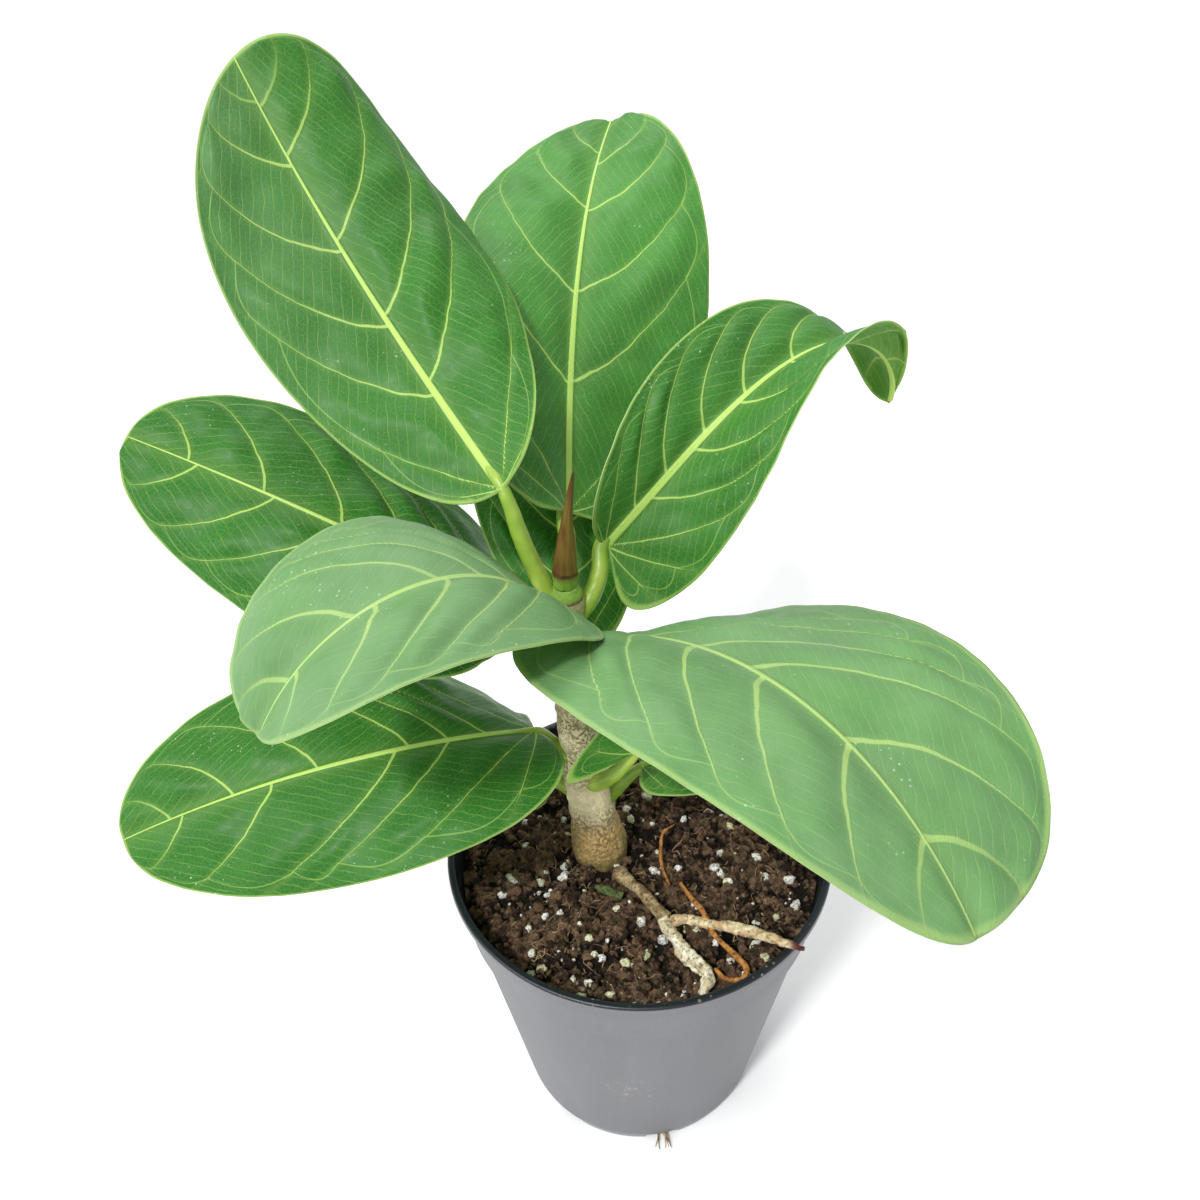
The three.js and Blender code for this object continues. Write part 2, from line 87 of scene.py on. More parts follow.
# Each leaf: where blade and stalk meet, the way its midrib sets off and bends, how the blade rolls about
# the midrib, three half-widths a side, how each half bends down to its edge, the fold along the midrib,
# how far the base lobes reach back, and how far the left half runs ahead at the tip. left_veins and
# right_veins are the shares of the length at which side veins leave the midrib. The sheen values, one for
# the whole upper side and one that only its left half gains by the tip, give the strength of a painted
# sheen: a pale haze that stands in for soft reflected light. shade is painted shade, darkening a leaf that
# lies in shadow towards the shade green, and wide is how much wider than usual its side veins are.
EVEN_VEINS = (0, 0.25, 0.5, 0.75, 0.9)
LEAVES = {
    "leaf_tall_left": dict(
        base=(-34.4, 5.8, 230), length=132, heading=(129, 141), rise=(27, 58, 1.2), roll=(-41, -33, 0.8),
        left=(24, 34, 36), right=(29, 38, 47), cup=(-13, 48, 1.7), fold=6, lobes=(13, 3), skew=-16,
        stalk=((-20.6, 0, 197), (-24.5, 0.6, 203), (-29.6, 3, 215.5)),
        left_veins=(0, 0.24, 0.41, 0.59, 0.78, 0.91), right_veins=(0, 0.27, 0.43, 0.61, 0.8, 0.9),
        painted_sheen=0.04, tip_sheen=0.2, shade=0.5, wide=1.0,
    ),
    "leaf_tall_back": dict(
        base=(-19.3, 24, 212), length=150, heading=(92, 80), rise=(45, 14, 1.05), roll=(50, -9, 0.9),
        left=(39, 39, 34), right=(41, 42, 38), cup=(40, 20, 1.2), fold=14, lobes=(29, 30), skew=1,
        stalk=((-20, 1.6, 197.5), (-20, 9, 201.5), (-19.6, 17, 206.5)),
        left_veins=(0, 0.25, 0.45, 0.68, 0.86), right_veins=(0, 0.255, 0.455, 0.67, 0.82),
        painted_sheen=0.1, shade=0.05, wide=1.0,
    ),
    "leaf_curled_right": dict(
        base=(-9, 11, 209.5), length=122.5, heading=(27, 34), rise=(42, -100, 3.1), roll=(78, -51, 1.05),
        left=(21, 24, 18), right=(25, 32, 6), cup=(-21, -32, 1.1), fold=16, lobes=(12, 52), skew=5,
        stalk=((-17.6, 0.2, 193.6), (-13, 3.4, 198.4), (-10.6, 7.6, 204.2)),
        left_veins=(0, 0.1, 0.2, 0.32, 0.44, 0.57, 0.72, 0.86),
        right_veins=(0, 0.14, 0.28, 0.42, 0.56, 0.72, 0.87),
        painted_sheen=0.08, shade=0.45, wide=1.0,
    ),
    "leaf_side_left": dict(
        base=(-35.5, 12, 189), length=120, heading=(168, 159), rise=(24, 10, 1.1), roll=(22, -34, 0.6),
        left=(41, 34, 30), right=(39, 37, 33), cup=(56, 17, 1.1), fold=0, lobes=(34, 33), skew=0,
        stalk=((-19.4, 1, 184), (-24, 3.4, 184.6), (-30.4, 8.6, 186.4)),
        left_veins=(0, 0.22, 0.42, 0.6, 0.8), right_veins=(0, 0.12, 0.27, 0.43, 0.63, 0.83),
        painted_sheen=0.03, shade=0.7, wide=0.9,
    ),
    "leaf_front_left": dict(
        base=(-26, -8, 207.5), length=87, heading=(224, 219), rise=(52, -59, 1.08), roll=(2, 2, 1),
        left=(35, 34, 23), right=(37, 36, 34), cup=(38, 24, 1), fold=13, lobes=(28, 36), skew=-1,
        stalk=((-19.4, -0.6, 192), (-22.6, -3.4, 195.4), (-25, -6.4, 202)),
        left_veins=(0, 0.15, 0.35, 0.56, 0.81), right_veins=(0, 0.1, 0.22, 0.37, 0.62, 0.84),
        painted_sheen=0.56, shade=0.2, wide=1.5,
    ),
    "leaf_front_right": dict(
        base=(-10.6, -2.7, 190.4), length=130, heading=(-43, -60), rise=(31, -43, 1.4), roll=(-33, -6, 0.6),
        left=(47, 49, 52), right=(44, 46, 27), cup=(-4, 43, 1), fold=6, lobes=(44, 27), skew=0,
        stalk=((-18.4, 0, 176.5), (-14.4, -1.8, 179.5), (-12, -2.6, 185.6)),
        left_veins=(0, 0.14, 0.29, 0.42, 0.65, 0.84), right_veins=(0, 0.13, 0.29, 0.46, 0.66, 0.84),
        painted_sheen=0.5, shade=0.0, wide=1.8,
    ),
    "leaf_middle_back": dict(
        base=(-17.5, 8, 177), length=104, heading=(98, 93), rise=(45, 17, 1), roll=(0, 0, 1),
        left=(15, 32, 30), right=(17, 25, 24), cup=(22, 22, 1), fold=8, lobes=(8, 16), skew=0,
        stalk=((-18.2, 1, 166.5), (-18, 4.6, 169), (-17.8, 7, 173)),
        left_veins=(0, 0.17, 0.33, 0.5, 0.66, 0.8, 0.9), right_veins=(0, 0.2, 0.36, 0.52, 0.7, 0.83, 0.92),
        painted_sheen=0.0, shade=0.5, wide=1.0,
    ),
    "leaf_low_left": dict(
        base=(-30.6, 3.3, 150.5), length=121, heading=(201, 187), rise=(16, -26, 0.8), roll=(21, -42, 0.64),
        left=(43, 32, 32), right=(40, 42, 32), cup=(28, 23, 1.1), fold=2, lobes=(30, 31), skew=-1,
        stalk=((-18.4, -2.6, 146), (-22.6, -2.4, 147), (-27, 0.6, 148.8)),
        left_veins=(0, 0.21, 0.33, 0.62, 0.84), right_veins=(0, 0.12, 0.21, 0.3, 0.51, 0.71, 0.87),
        painted_sheen=0.04, shade=0.6, wide=0.9,
    ),
    "leaf_low_front": dict(
        base=(-0.2, -12, 155.7), length=62, heading=(36, 21.5), rise=(26, -1, 1), roll=(60, -1, 0.8),
        left=(10, 18, 12), right=(6, 17, 18), cup=(-10, 20, 1), fold=2, lobes=(61, 5), skew=0,
        stalk=((-15, -1.6, 134), (-12.2, -6, 137.8), (-6, -10.2, 147)),
        left_veins=EVEN_VEINS, right_veins=EVEN_VEINS,
        painted_sheen=0.0, shade=0.0, wide=0.8,
    ),
    "leaf_low_right": dict(
        base=(0.3, 2, 137.5), length=70, heading=(10, 0), rise=(18, -8, 1), roll=(5, 0, 1),
        left=(24, 24, 20), right=(16, 18, 18), cup=(22, 22, 1), fold=5, lobes=(22, 20), skew=0,
        stalk=((-14.6, 1.4, 120), (-9.4, 2.6, 123.4), (-4.4, 2.6, 130.6)),
        left_veins=EVEN_VEINS, right_veins=EVEN_VEINS,
        painted_sheen=0.1, shade=0.4, wide=0.8,
    ),
    "leaf_low_back": dict(
        base=(-28.5, 3, 132.2), length=62, heading=(178, 184), rise=(14, -10, 1), roll=(5, 0, 1),
        left=(20, 21, 15), right=(20, 21, 15), cup=(20, 20, 1), fold=5, lobes=(18, 18), skew=0,
        stalk=((-16, 1.4, 124.6), (-20.4, 1.8, 126.6), (-24.8, 2.4, 129.6)),
        left_veins=EVEN_VEINS, right_veins=EVEN_VEINS,
        painted_sheen=0.1, shade=0.4, wide=0.8,
    ),
}

STEM_LINE = ((-11, 3, 78), (-12.5, 2, 98), (-15.5, 1.2, 126), (-17.8, 0.6, 152), (-18.8, 0.2, 180),
             (-19.3, 0, 204.5))
STEM_RADII = (6, 7.4, 9, 7, 6.5, 7, 5.8, 5.2, 5, 4.7, 4.3)
# Roots in the soil under the stem: the line and the radii of each.
BURIED_ROOTS = (
    (((-11, 3, 84), (-24, 8, 72), (-36, 16, 52), (-34, 22, 30)), (3.4, 2.4, 1.6, 1)),
    (((-11, 3, 84), (-14, -12, 70), (-16, -28, 50), (-8, -32, 26)), (3, 2.2, 1.5, 1)),
    (((-11, 3, 84), (2, 14, 72), (16, 26, 52), (22, 24, 28)), (3.2, 2.2, 1.5, 1)),
    (((-11, 3, 86), (4, 0, 70), (20, -6, 50), (28, -10, 26)), (3.2, 2.4, 1.6, 1)),
    (((-11, 3, 84), (-10, 6, 60), (-6, 4, 38), (-2, 2, 18)), (3.6, 2.6, 1.8, 1)),
)
SHEATH_LINE = ((-19.3, 0, 204.8), (-18.9, 0, 213), (-17.8, 0, 226), (-16, 0, 238))


# ---------------------------------------------------------------- numbers and lines

def mix(a, b, share):
    return a + (b - a) * share


def ease(value, low, high):
    """0 below low, 1 above high, and an even curve between; works on numbers and arrays."""
    share = np.clip((value - low) / (high - low), 0.0, 1.0)
    return share * share * (3 - 2 * share)


def along_list(values, share):
    """The value at a share, 0 to 1, of the way through a list, with straight steps between."""
    at = min(max(share, 0.0), 1.0) * (len(values) - 1)
    low = min(int(at), len(values) - 2)
    return values[low] + (values[low + 1] - values[low]) * (at - low)


def smooth_line(points, steps):
    """Evenly spaced points on a smooth curve through the given ones."""
    knots = [Vector(p) for p in points]
    knots = [knots[0] * 2 - knots[1], *knots, knots[-1] * 2 - knots[-2]]
    dense = []
    parts = 16
    for i in range(1, len(knots) - 2):
        before, start, end, after = knots[i - 1:i + 3]
        for j in range(parts):
            t = j / parts
            dense.append((start * 2 + (end - before) * t + (before * 2 - start * 5 + end * 4 - after) * t * t
                          + (start * 3 - before - end * 3 + after) * t ** 3) * 0.5)
    dense.append(knots[-2])
    lengths = np.cumsum([0.0] + [(b - a).length for a, b in zip(dense, dense[1:])])
    wanted = np.linspace(0, lengths[-1], steps + 1)
    axes = [np.interp(wanted, lengths, [p[axis] for p in dense]) for axis in range(3)]
    return [Vector(p) for p in zip(*axes)]


def carried_sides(points):
    """Two crosswise directions at each point of a line, carried along it without twisting."""
    side = (points[1] - points[0]).orthogonal()
    sides = []
    for i in range(len(points)):
        ahead = (points[min(i + 1, len(points) - 1)] - points[max(i - 1, 0)]).normalized()
        side = (side - ahead * side.dot(ahead)).normalized()
        sides.append((side, ahead.cross(side)))
    return sides


# ---------------------------------------------------------------- meshes

def add_rod(bm, line, radius_at, around, steps, relief=None, material=0):
    """A closed rod along a line: a grid rolled round it, its seam merged and its ends filled."""
    made = bmesh.ops.create_grid(bm, x_segments=steps, y_segments=around, size=1.0)["verts"]
    faces = {face for vert in made for face in vert.link_faces}
    for face in faces:
        face.material_index = material
    points = smooth_line(line, steps)
    sides = carried_sides(points)
    firsts = [pair[0] for pair in sides]
    seconds = [pair[1] for pair in sides]
    for vert in made:
        t = (vert.co.x + 1) / 2
        turn = (vert.co.y + 1) * math.pi
        centre = along_list(points, t)
        out = along_list(firsts, t) * math.cos(turn) + along_list(seconds, t) * math.sin(turn)
        radius = radius_at(t)
        if relief:
            radius += relief(centre + out * radius, t, turn)
        vert.co = centre + out * radius
    bmesh.ops.remove_doubles(bm, verts=made, dist=1e-4)
    rims = [edge for edge in bm.edges if edge.is_boundary]
    caps = bmesh.ops.holes_fill(bm, edges=rims, sides=0)["faces"]
    for face in caps:
        face.material_index = material


def add_lump(bm, place, radius, flatness, roughness, rng, detail=1):
    """A knobbly lump: an icosphere turned at random, squashed and pushed in and out by noise."""
    angle = rng.uniform(0, 6.28)
    spin = Matrix.Rotation(angle, 4, Vector([rng.gauss(0, 1) for _ in range(3)]))
    stretch = Matrix.Diagonal((1, rng.uniform(0.6, 1), flatness, 1))
    where = Matrix.Translation(place) @ spin @ stretch
    made = bmesh.ops.create_icosphere(bm, subdivisions=detail, radius=radius, matrix=where)["verts"]
    shift = Vector([rng.uniform(0, 99) for _ in range(3)])
    centre = Vector(place)
    for vert in made:
        away = vert.co - centre
        vert.co = centre + away * (1 + roughness * noise.noise(away / radius * 1.6 + shift))


def in_batches(count, batch, add):
    """Adds many small shapes to one mesh, a batch at a time, because one long mesh grows slowly."""
    whole = bmesh.new()
    for start in range(0, count, batch):
        part = bmesh.new()
        for i in range(start, min(count, start + batch)):
            add(part, i)
        mesh = bpy.data.meshes.new("batch")
        part.to_mesh(mesh)
        part.free()
        whole.from_mesh(mesh)
        bpy.data.meshes.remove(mesh)
    return whole


def make_piece(name, bm, materials, stands_for=()):
    """Turns a mesh in millimetres into a piece in metres that rides on the frame."""
    bmesh.ops.recalc_face_normals(bm, faces=bm.faces)
    bmesh.ops.scale(bm, vec=(MM, MM, MM), verts=bm.verts)
    mesh = bpy.data.meshes.new(name)
    bm.to_mesh(mesh)
    bm.free()
    mesh.shade_smooth()
    for material in materials:
        mesh.materials.append(material)
    piece = bpy.data.objects.new(name, mesh)
    bpy.context.scene.collection.objects.link(piece)
    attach(piece, "root")
    if stands_for:
        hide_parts(*stands_for)
    return piece


# ---------------------------------------------------------------- shader helpers

def feed(tree, node, inputs):
    """Links or sets a node's inputs, each a socket, number or colour by its name or place."""
    for name, value in inputs.items():
        if isinstance(value, bpy.types.NodeSocket):
            tree.links.new(value, node.inputs[name])
        else:
            node.inputs[name].default_value = value


def put(tree, kind, inputs=None, **settings):
    """Adds a node with its settings and inputs."""
    node = tree.nodes.new("ShaderNode" + kind)
    for name, value in settings.items():
        setattr(node, name, value)
    feed(tree, node, inputs or {})
    return node


def calc(tree, operation, a, b=0.0, clamp=False):
    return put(tree, "Math", {0: a, 1: b}, operation=operation, use_clamp=clamp).outputs[0]


def plus(tree, a, b):
    return calc(tree, "ADD", a, b)


def minus(tree, a, b):
    return calc(tree, "SUBTRACT", a, b)


def times(tree, a, b):
    return calc(tree, "MULTIPLY", a, b)


def off(tree, value, level):
    """How far a value is from a level, either way."""
    return calc(tree, "ABSOLUTE", minus(tree, value, level))


def between(tree, value, low, high, to_low=0.0, to_high=1.0):
    """A smooth step of value from to_low at low to to_high at high."""
    inputs = {"Value": value, "From Min": low, "From Max": high, "To Min": to_low, "To Max": to_high}
    return put(tree, "MapRange", inputs, interpolation_type="SMOOTHSTEP").outputs[0]


def rgba(value):
    """A colour with its alpha; a socket stays as it is."""
    return value if isinstance(value, bpy.types.NodeSocket) else (*value, 1)


def shaded(value, factor):
    """A colour made lighter or darker by a factor."""
    return tuple(part * factor for part in value)


def tint(tree, share, under, over, strength=None):
    """over laid on under by share, which strength can weaken."""
    if strength is not None:
        share = times(tree, share, strength)
    return put(tree, "Mix", {0: share, 6: rgba(under), 7: rgba(over)}, data_type="RGBA").outputs[2]


def cloud(tree, vector, scale, detail=3.0, roughness=0.55):
    inputs = {"Vector": vector, "Scale": scale, "Detail": detail, "Roughness": roughness}
    return put(tree, "TexNoise", inputs).outputs[0]


def axes_of(tree, vector):
    return put(tree, "SeparateXYZ", {0: vector}).outputs


def scaled(tree, vector, scale, turn=(0, 0, 0)):
    """A place turned and scaled, so that what is made from it comes out stretched."""
    return put(tree, "Mapping", {"Vector": vector, "Rotation": turn, "Scale": scale}).outputs[0]


def distance_from(tree, place, point):
    return put(tree, "VectorMath", {0: place, 1: point}, operation="DISTANCE").outputs["Value"]


def specks(tree, place, scale, size, share):
    inputs = {"Vector": place, "Scale": scale, "Size": size, "Share": share}
    return use_group(tree, "Specks", inputs)["Mask"]


def new_group(name, takes, gives):
    """A node group with named inputs, as {name: default}, and named outputs."""
    group = bpy.data.node_groups.new(name, "ShaderNodeTree")
    for label, default in takes.items():
        kind = "NodeSocketVector" if isinstance(default, tuple) else "NodeSocketFloat"
        socket = group.interface.new_socket(label, in_out="INPUT", socket_type=kind)
        if kind == "NodeSocketFloat":
            socket.default_value = default
    for label in gives:
        group.interface.new_socket(label, in_out="OUTPUT", socket_type="NodeSocketFloat")
    return group, group.nodes.new("NodeGroupInput").outputs, group.nodes.new("NodeGroupOutput").inputs


def use_group(tree, name, inputs):
    node = tree.nodes.new("ShaderNodeGroup")
    node.node_tree = bpy.data.node_groups[name]
    feed(tree, node, inputs)
    return node.outputs


def speck_group():
    """Scattered small specks, such as dust, pores or moulded grain."""
    takes = {"Vector": (0, 0, 0), "Scale": 800.0, "Size": 0.2, "Share": 0.5}
    group, takes, gives = new_group("Specks", takes, ["Mask"])
    cells = put(group, "TexVoronoi", {"Vector": takes["Vector"], "Scale": takes["Scale"]}).outputs
    patches = cloud(group, takes["Vector"], times(group, takes["Scale"], 0.06), 2.0)
    shades = put(group, "SeparateColor", {0: cells["Color"]}).outputs[0]
    size = times(group, takes["Size"], shades)
    spot = between(group, cells["Distance"], size, times(group, size, 0.5))
    kept = between(group, minus(group, takes["Share"], patches), -0.1, 0.1)
    group.links.new(times(group, spot, kept), gives["Mask"])


def vein_group():
    """Masks of a leaf's midrib, side veins, finer network and pale margin, and the height they stand up.

    Blade is the place on the blade: length from the stalk and distance from the midrib in millimetres,
    and share of the way to the margin. Vein is the count of side veins passed, the gap between them in
    millimetres, and the distance to the margin in millimetres. Arch is the count where the side veins near
    the margin, each joining the next in an arch.
    """
    takes = {"Blade": (0, 0, 0), "Vein": (0, 0, 0), "Arch": 0.0, "Length": 120.0, "Midrib width": 1.1,
             "Vein width": 0.34, "Margin width": 0.6}
    gives = ["Midrib", "Veins", "Network", "Margin", "Height", "Halo"]
    group, takes, gives = new_group("Leaf veins", takes, gives)
    blade = axes_of(group, takes["Blade"])
    vein = axes_of(group, takes["Vein"])
    from_rib = calc(group, "ABSOLUTE", blade[1])
    rib = times(group, takes["Midrib width"], between(group, blade[0], -10.0, takes["Length"], 1.3, 0.22))
    rib_mask = between(group, from_rib, times(group, rib, 1.15), times(group, rib, 0.75))
    wobble = minus(group, cloud(group, takes["Blade"], 0.11, 2.0), 0.5)
    count = plus(group, vein[0], times(group, wobble, 0.1))
    part = calc(group, "FRACT", plus(group, count, 0.5))
    from_vein = times(group, off(group, part, 0.5), vein[1])
    width = times(group, takes["Vein width"], between(group, blade[2], 0.0, 0.9, 1.35, 0.45))
    fade = between(group, blade[2], 0.88, 0.8, 0.0, 1.0)
    vein_line = between(group, from_vein, times(group, width, 1.3), times(group, width, 0.7))
    tip = between(group, calc(group, "DIVIDE", blade[0], takes["Length"]), 0.8, 1.0, 1.0, 0.25)
    vein_mask = times(group, times(group, vein_line, fade), tip)
    swing = calc(group, "ABSOLUTE", calc(group, "SINE", times(group, takes["Arch"], math.pi)))
    arch_at = plus(group, 0.8, times(group, swing, 0.1))
    from_arch = off(group, blade[2], arch_at)
    arch_mask = times(group, between(group, from_arch, 0.008, 0.003), 0.45)
    # The finer network: rungs square to the side veins, each gap between veins out of step with the next,
    # and a small mesh between the rungs.
    gap_seed = plus(group, calc(group, "FLOOR", count), times(group, calc(group, "SIGN", blade[1]), 40.0))
    step = put(group, "TexWhiteNoise", {"W": gap_seed}, noise_dimensions="1D").outputs["Value"]
    along_vein = plus(group, times(group, blade[0], 0.55), from_rib)
    waver = times(group, minus(group, cloud(group, takes["Blade"], 0.13, 2.0), 0.5), 0.9)
    rung = plus(group, plus(group, times(group, along_vein, 0.36), step), waver)
    from_rung = off(group, calc(group, "FRACT", rung), 0.5)
    rungs = between(group, from_rung, 0.085, 0.025)
    patchy = between(group, cloud(group, takes["Blade"], 0.2, 2.0), 0.36, 0.6, 0.35, 1.0)
    meshes = put(group, "TexVoronoi", {"Vector": takes["Blade"], "Scale": 0.62}, feature="DISTANCE_TO_EDGE",
                 voronoi_dimensions="2D").outputs[0]
    lace = between(group, meshes, 0.07, 0.02)
    network = calc(group, "MAXIMUM", times(group, rungs, patchy), times(group, lace, 0.5))
    edge_mask = between(group, vein[2], takes["Margin width"], times(group, takes["Margin width"], 0.3))
    group.links.new(rib_mask, gives["Midrib"])
    group.links.new(calc(group, "MAXIMUM", vein_mask, arch_mask), gives["Veins"])
    group.links.new(network, gives["Network"])
    group.links.new(edge_mask, gives["Margin"])
    soft_rib = between(group, from_rib, times(group, rib, 2.0), 0.0)
    soft_vein = between(group, from_vein, times(group, width, 3.0), 0.0)
    raised = plus(group, soft_rib, times(group, soft_vein, 0.3))
    height = minus(group, raised, times(group, network, 0.3))
    group.links.new(height, gives["Height"])
    halo = between(group, from_vein, 3.0, 0.0)
    halo = calc(group, "MAXIMUM", halo, between(group, from_rib, 6.0, 0.5))
    group.links.new(halo, gives["Halo"])


def new_material(name, specular=0.5):
    """An empty material with a Principled surface; returns the material, its tree and that shader."""
    material = bpy.data.materials.new(name)
    material.use_nodes = True
    tree = material.node_tree
    shader = tree.nodes["Principled BSDF"]
    shader.inputs["Specular IOR Level"].default_value = specular
    return material, tree, shader


def set_surface(tree, shader, colour, roughness, height=None, depth=0.0002, strength=1.0):
    """Joins colour, roughness and relief to a shader."""
    feed(tree, shader, {"Base Color": colour, "Roughness": roughness})
    if height is not None:
        bump = put(tree, "Bump", {"Height": height, "Distance": depth, "Strength": strength})
        tree.links.new(bump.outputs[0], shader.inputs["Normal"])


def place_of(tree):
    return put(tree, "TexCoord").outputs["Object"]


# ---------------------------------------------------------------- settings

def length(name, description, default, low=0.0, high=500.0):
    return bpy.props.FloatProperty(name=name, description=description, default=default, min=low, max=high)


def colour(name, description, default):
    return bpy.props.FloatVectorProperty(
        name=name, description=description, default=default, subtype="COLOR", size=3, min=0.0, max=1.0)


def number(name, description, default, low, high):
    return bpy.props.IntProperty(name=name, description=description, default=default, min=low, max=high)


class FigLeafSettings(bpy.types.PropertyGroup):
    squares_along: number("Squares along", "Mesh squares along a blade", 150, 20, 300)
    squares_across: number("Squares across", "Mesh squares across a blade", 100, 20, 200)
    thickness: length("Thickness", "Blade thickness in millimetres", 0.55, 0.2, 2.0)
    quilting: length("Quilting", "How far the blade bulges between side veins, in millimetres", 1.7, 0.0, 3.0)
    stalk_radius: length("Stalk radius", "Radius of a stalk at the stem, in millimetres", 2.45, 0.5, 5.0)
    deep_green: colour("Deep green", "Blade in shade", (0.012, 0.105, 0.007))
    bright_green: colour("Bright green", "Blade in light", (0.036, 0.215, 0.014))
    vein_green: colour("Vein green", "Midrib and side veins", (0.4, 0.58, 0.12))
    under_green: colour("Underside green", "Underside of the blade", (0.06, 0.22, 0.015))
    # Painted sheen: a pale haze on the upper side that stands in for soft reflected light.
    sheen_colour: colour("Painted sheen", "Pale haze standing in for reflected light", (0.27, 0.4, 0.225))


class FigStemSettings(bpy.types.PropertyGroup):
    bark_pale: colour("Pale bark", "Smooth bark", (0.98, 0.87, 0.54))
    bark_dark: colour("Dark bark", "Stipple and dots in the bark", (0.21, 0.1, 0.03))
    young_bark: colour("Young bark", "Greenish bark near the top", (0.3, 0.33, 0.14))
    sheath_brown: colour("Sheath brown", "Sheath round the next leaf", (0.1, 0.026, 0.01))
    sheath_olive: colour("Sheath olive", "Lit side of the sheath", (0.25, 0.2, 0.032))


class FigPotSettings(bpy.types.PropertyGroup):
    turn_steps: number("Steps round", "Mesh steps round the pot, a multiple of 8", 128, 64, 256)
    body_grey: colour("Body", "Moulded grey of the pot", (0.16, 0.16, 0.171))
    lip_black: colour("Lip", "Lip and inside of the pot", (0.008, 0.011, 0.017))
    notch_height: length("Notch height", "Height of the drain notches in millimetres", 3.2, 1.0, 6.0)
    drain_turn: length("Drain turn", "Degrees from the front to the first drain", 10.5, 0.0, 45.0)


class FigSoilSettings(bpy.types.PropertyGroup):
    level: length("Level", "Height of the soil at the rim in millimetres", 99.0, 60.0, 105.0)
    crown: length("Crown", "How much higher the middle is, in millimetres", 2.0, 0.0, 8.0)
    crumbs: number("Crumbs", "Loose crumbs of peat", 5600, 0, 6000)
    clods: number("Clods", "Clods of peat", 520, 0, 2000)
    fibres: number("Fibres", "Loose fibres", 420, 0, 1500)
    grit: number("Grit", "White grains", 250, 0, 400)
    peat_dark: colour("Dark peat", "Damp peat", (0.03, 0.017, 0.01))
    peat_light: colour("Light peat", "Dry peat", (0.42, 0.24, 0.13))


class FigStageSettings(bpy.types.PropertyGroup):
    floor_colour: colour("Floor", "Pale floor", (0.93, 0.93, 0.93))
    sky_strength: length("Surround", "Strength of the white surroundings", 0.68, 0.0, 5.0)
    key_strength: length("Key", "Strength of the soft light from the front left", 2.0, 0.0, 10.0)


# ---------------------------------------------------------------- leaves

def place_blade(leaf, a, b):
    """Maps a square, -1 to 1 each way, onto a leaf's blade. Returns points in millimetres and what is
    known of each: length from the stalk, signed distance from the midrib, share of the way to the margin,
    and distance to the margin."""
    x = a * np.sqrt(1 - b * b / 2)
    y = b * np.sqrt(1 - a * a / 2)
    t = (x + 1) / 2
    leftward = y > 0
    away = np.abs(y)
    reach = np.where(leftward, leaf["lobes"][0], leaf["lobes"][1]) * away ** 1.5 * (1 - t) ** 1.5
    forward = t * leaf["length"] - reach + leaf["skew"] * y * t ** 3
    halves = [low * (1 - t) ** 2 + 2 * mid * t * (1 - t) + high * t * t
              for low, mid, high in (leaf["left"], leaf["right"])]
    half = np.where(leftward, halves[0], halves[1])
    width = away * half
    s = np.clip(forward / leaf["length"], 0, 1)

    def turned(name, s):
        start, end, *late = leaf[name]
        return np.radians(start + (end - start) * s ** (late[0] if late else 1))

    def directions(s):
        heading, rise, roll = turned("heading", s), turned("rise", s), turned("roll", s)
        ahead = np.stack([np.cos(rise) * np.cos(heading), np.cos(rise) * np.sin(heading), np.sin(rise)], -1)
        level = np.stack([-np.sin(heading), np.cos(heading), 0 * s], -1)
        above = np.cross(ahead, level)
        left = level * np.cos(roll)[:, None] + above * np.sin(roll)[:, None]
        return ahead, left, np.cross(ahead, left)

    stations = 120
    middles = (np.arange(stations) + 0.5) / stations
    steps = directions(middles)[0] * leaf["length"] / stations
    midrib = np.concatenate([[leaf["base"]], leaf["base"] + np.cumsum(steps, 0)])
    on_rib = np.stack([np.interp(s * stations, np.arange(stations + 1), midrib[:, i]) for i in range(3)], -1)
    ahead, left, up = directions(s)
    middle_width = (leaf["left"][1] + leaf["right"][1]) / 2
    cup = np.where(leftward, leaf["cup"][0], leaf["cup"][1])
    bend = np.radians(cup) / middle_width * mix(1, leaf["cup"][2], s)
    bend = np.where(np.abs(bend) < 1e-6, 1e-6, bend)
    out = np.sin(bend * width) / bend
    down = (1 - np.cos(bend * width)) / bend
    fold = math.radians(leaf["fold"])
    sideways = (out * math.cos(fold) + down * math.sin(fold)) * np.where(leftward, 1, -1)
    upward = out * math.sin(fold) - down * math.cos(fold)
    beyond = np.minimum(0, forward) + np.maximum(0, forward - leaf["length"])
    points = on_rib + ahead * beyond[:, None] + left * sideways[:, None] + up * upward[:, None]
    spread = np.sqrt(x * x + y * y)
    across = away / np.sqrt(np.maximum(1e-6, 1 - x * x))
    known = dict(u=forward, v=width * np.where(leftward, 1, -1), across=np.clip(across, 0, 1),
                 margin=(1 - spread) * np.where(away > 0.3, half, 40))
    return points, known


ARCH_SHARE = 0.8                       # share of the way to the margin at which side veins arch together


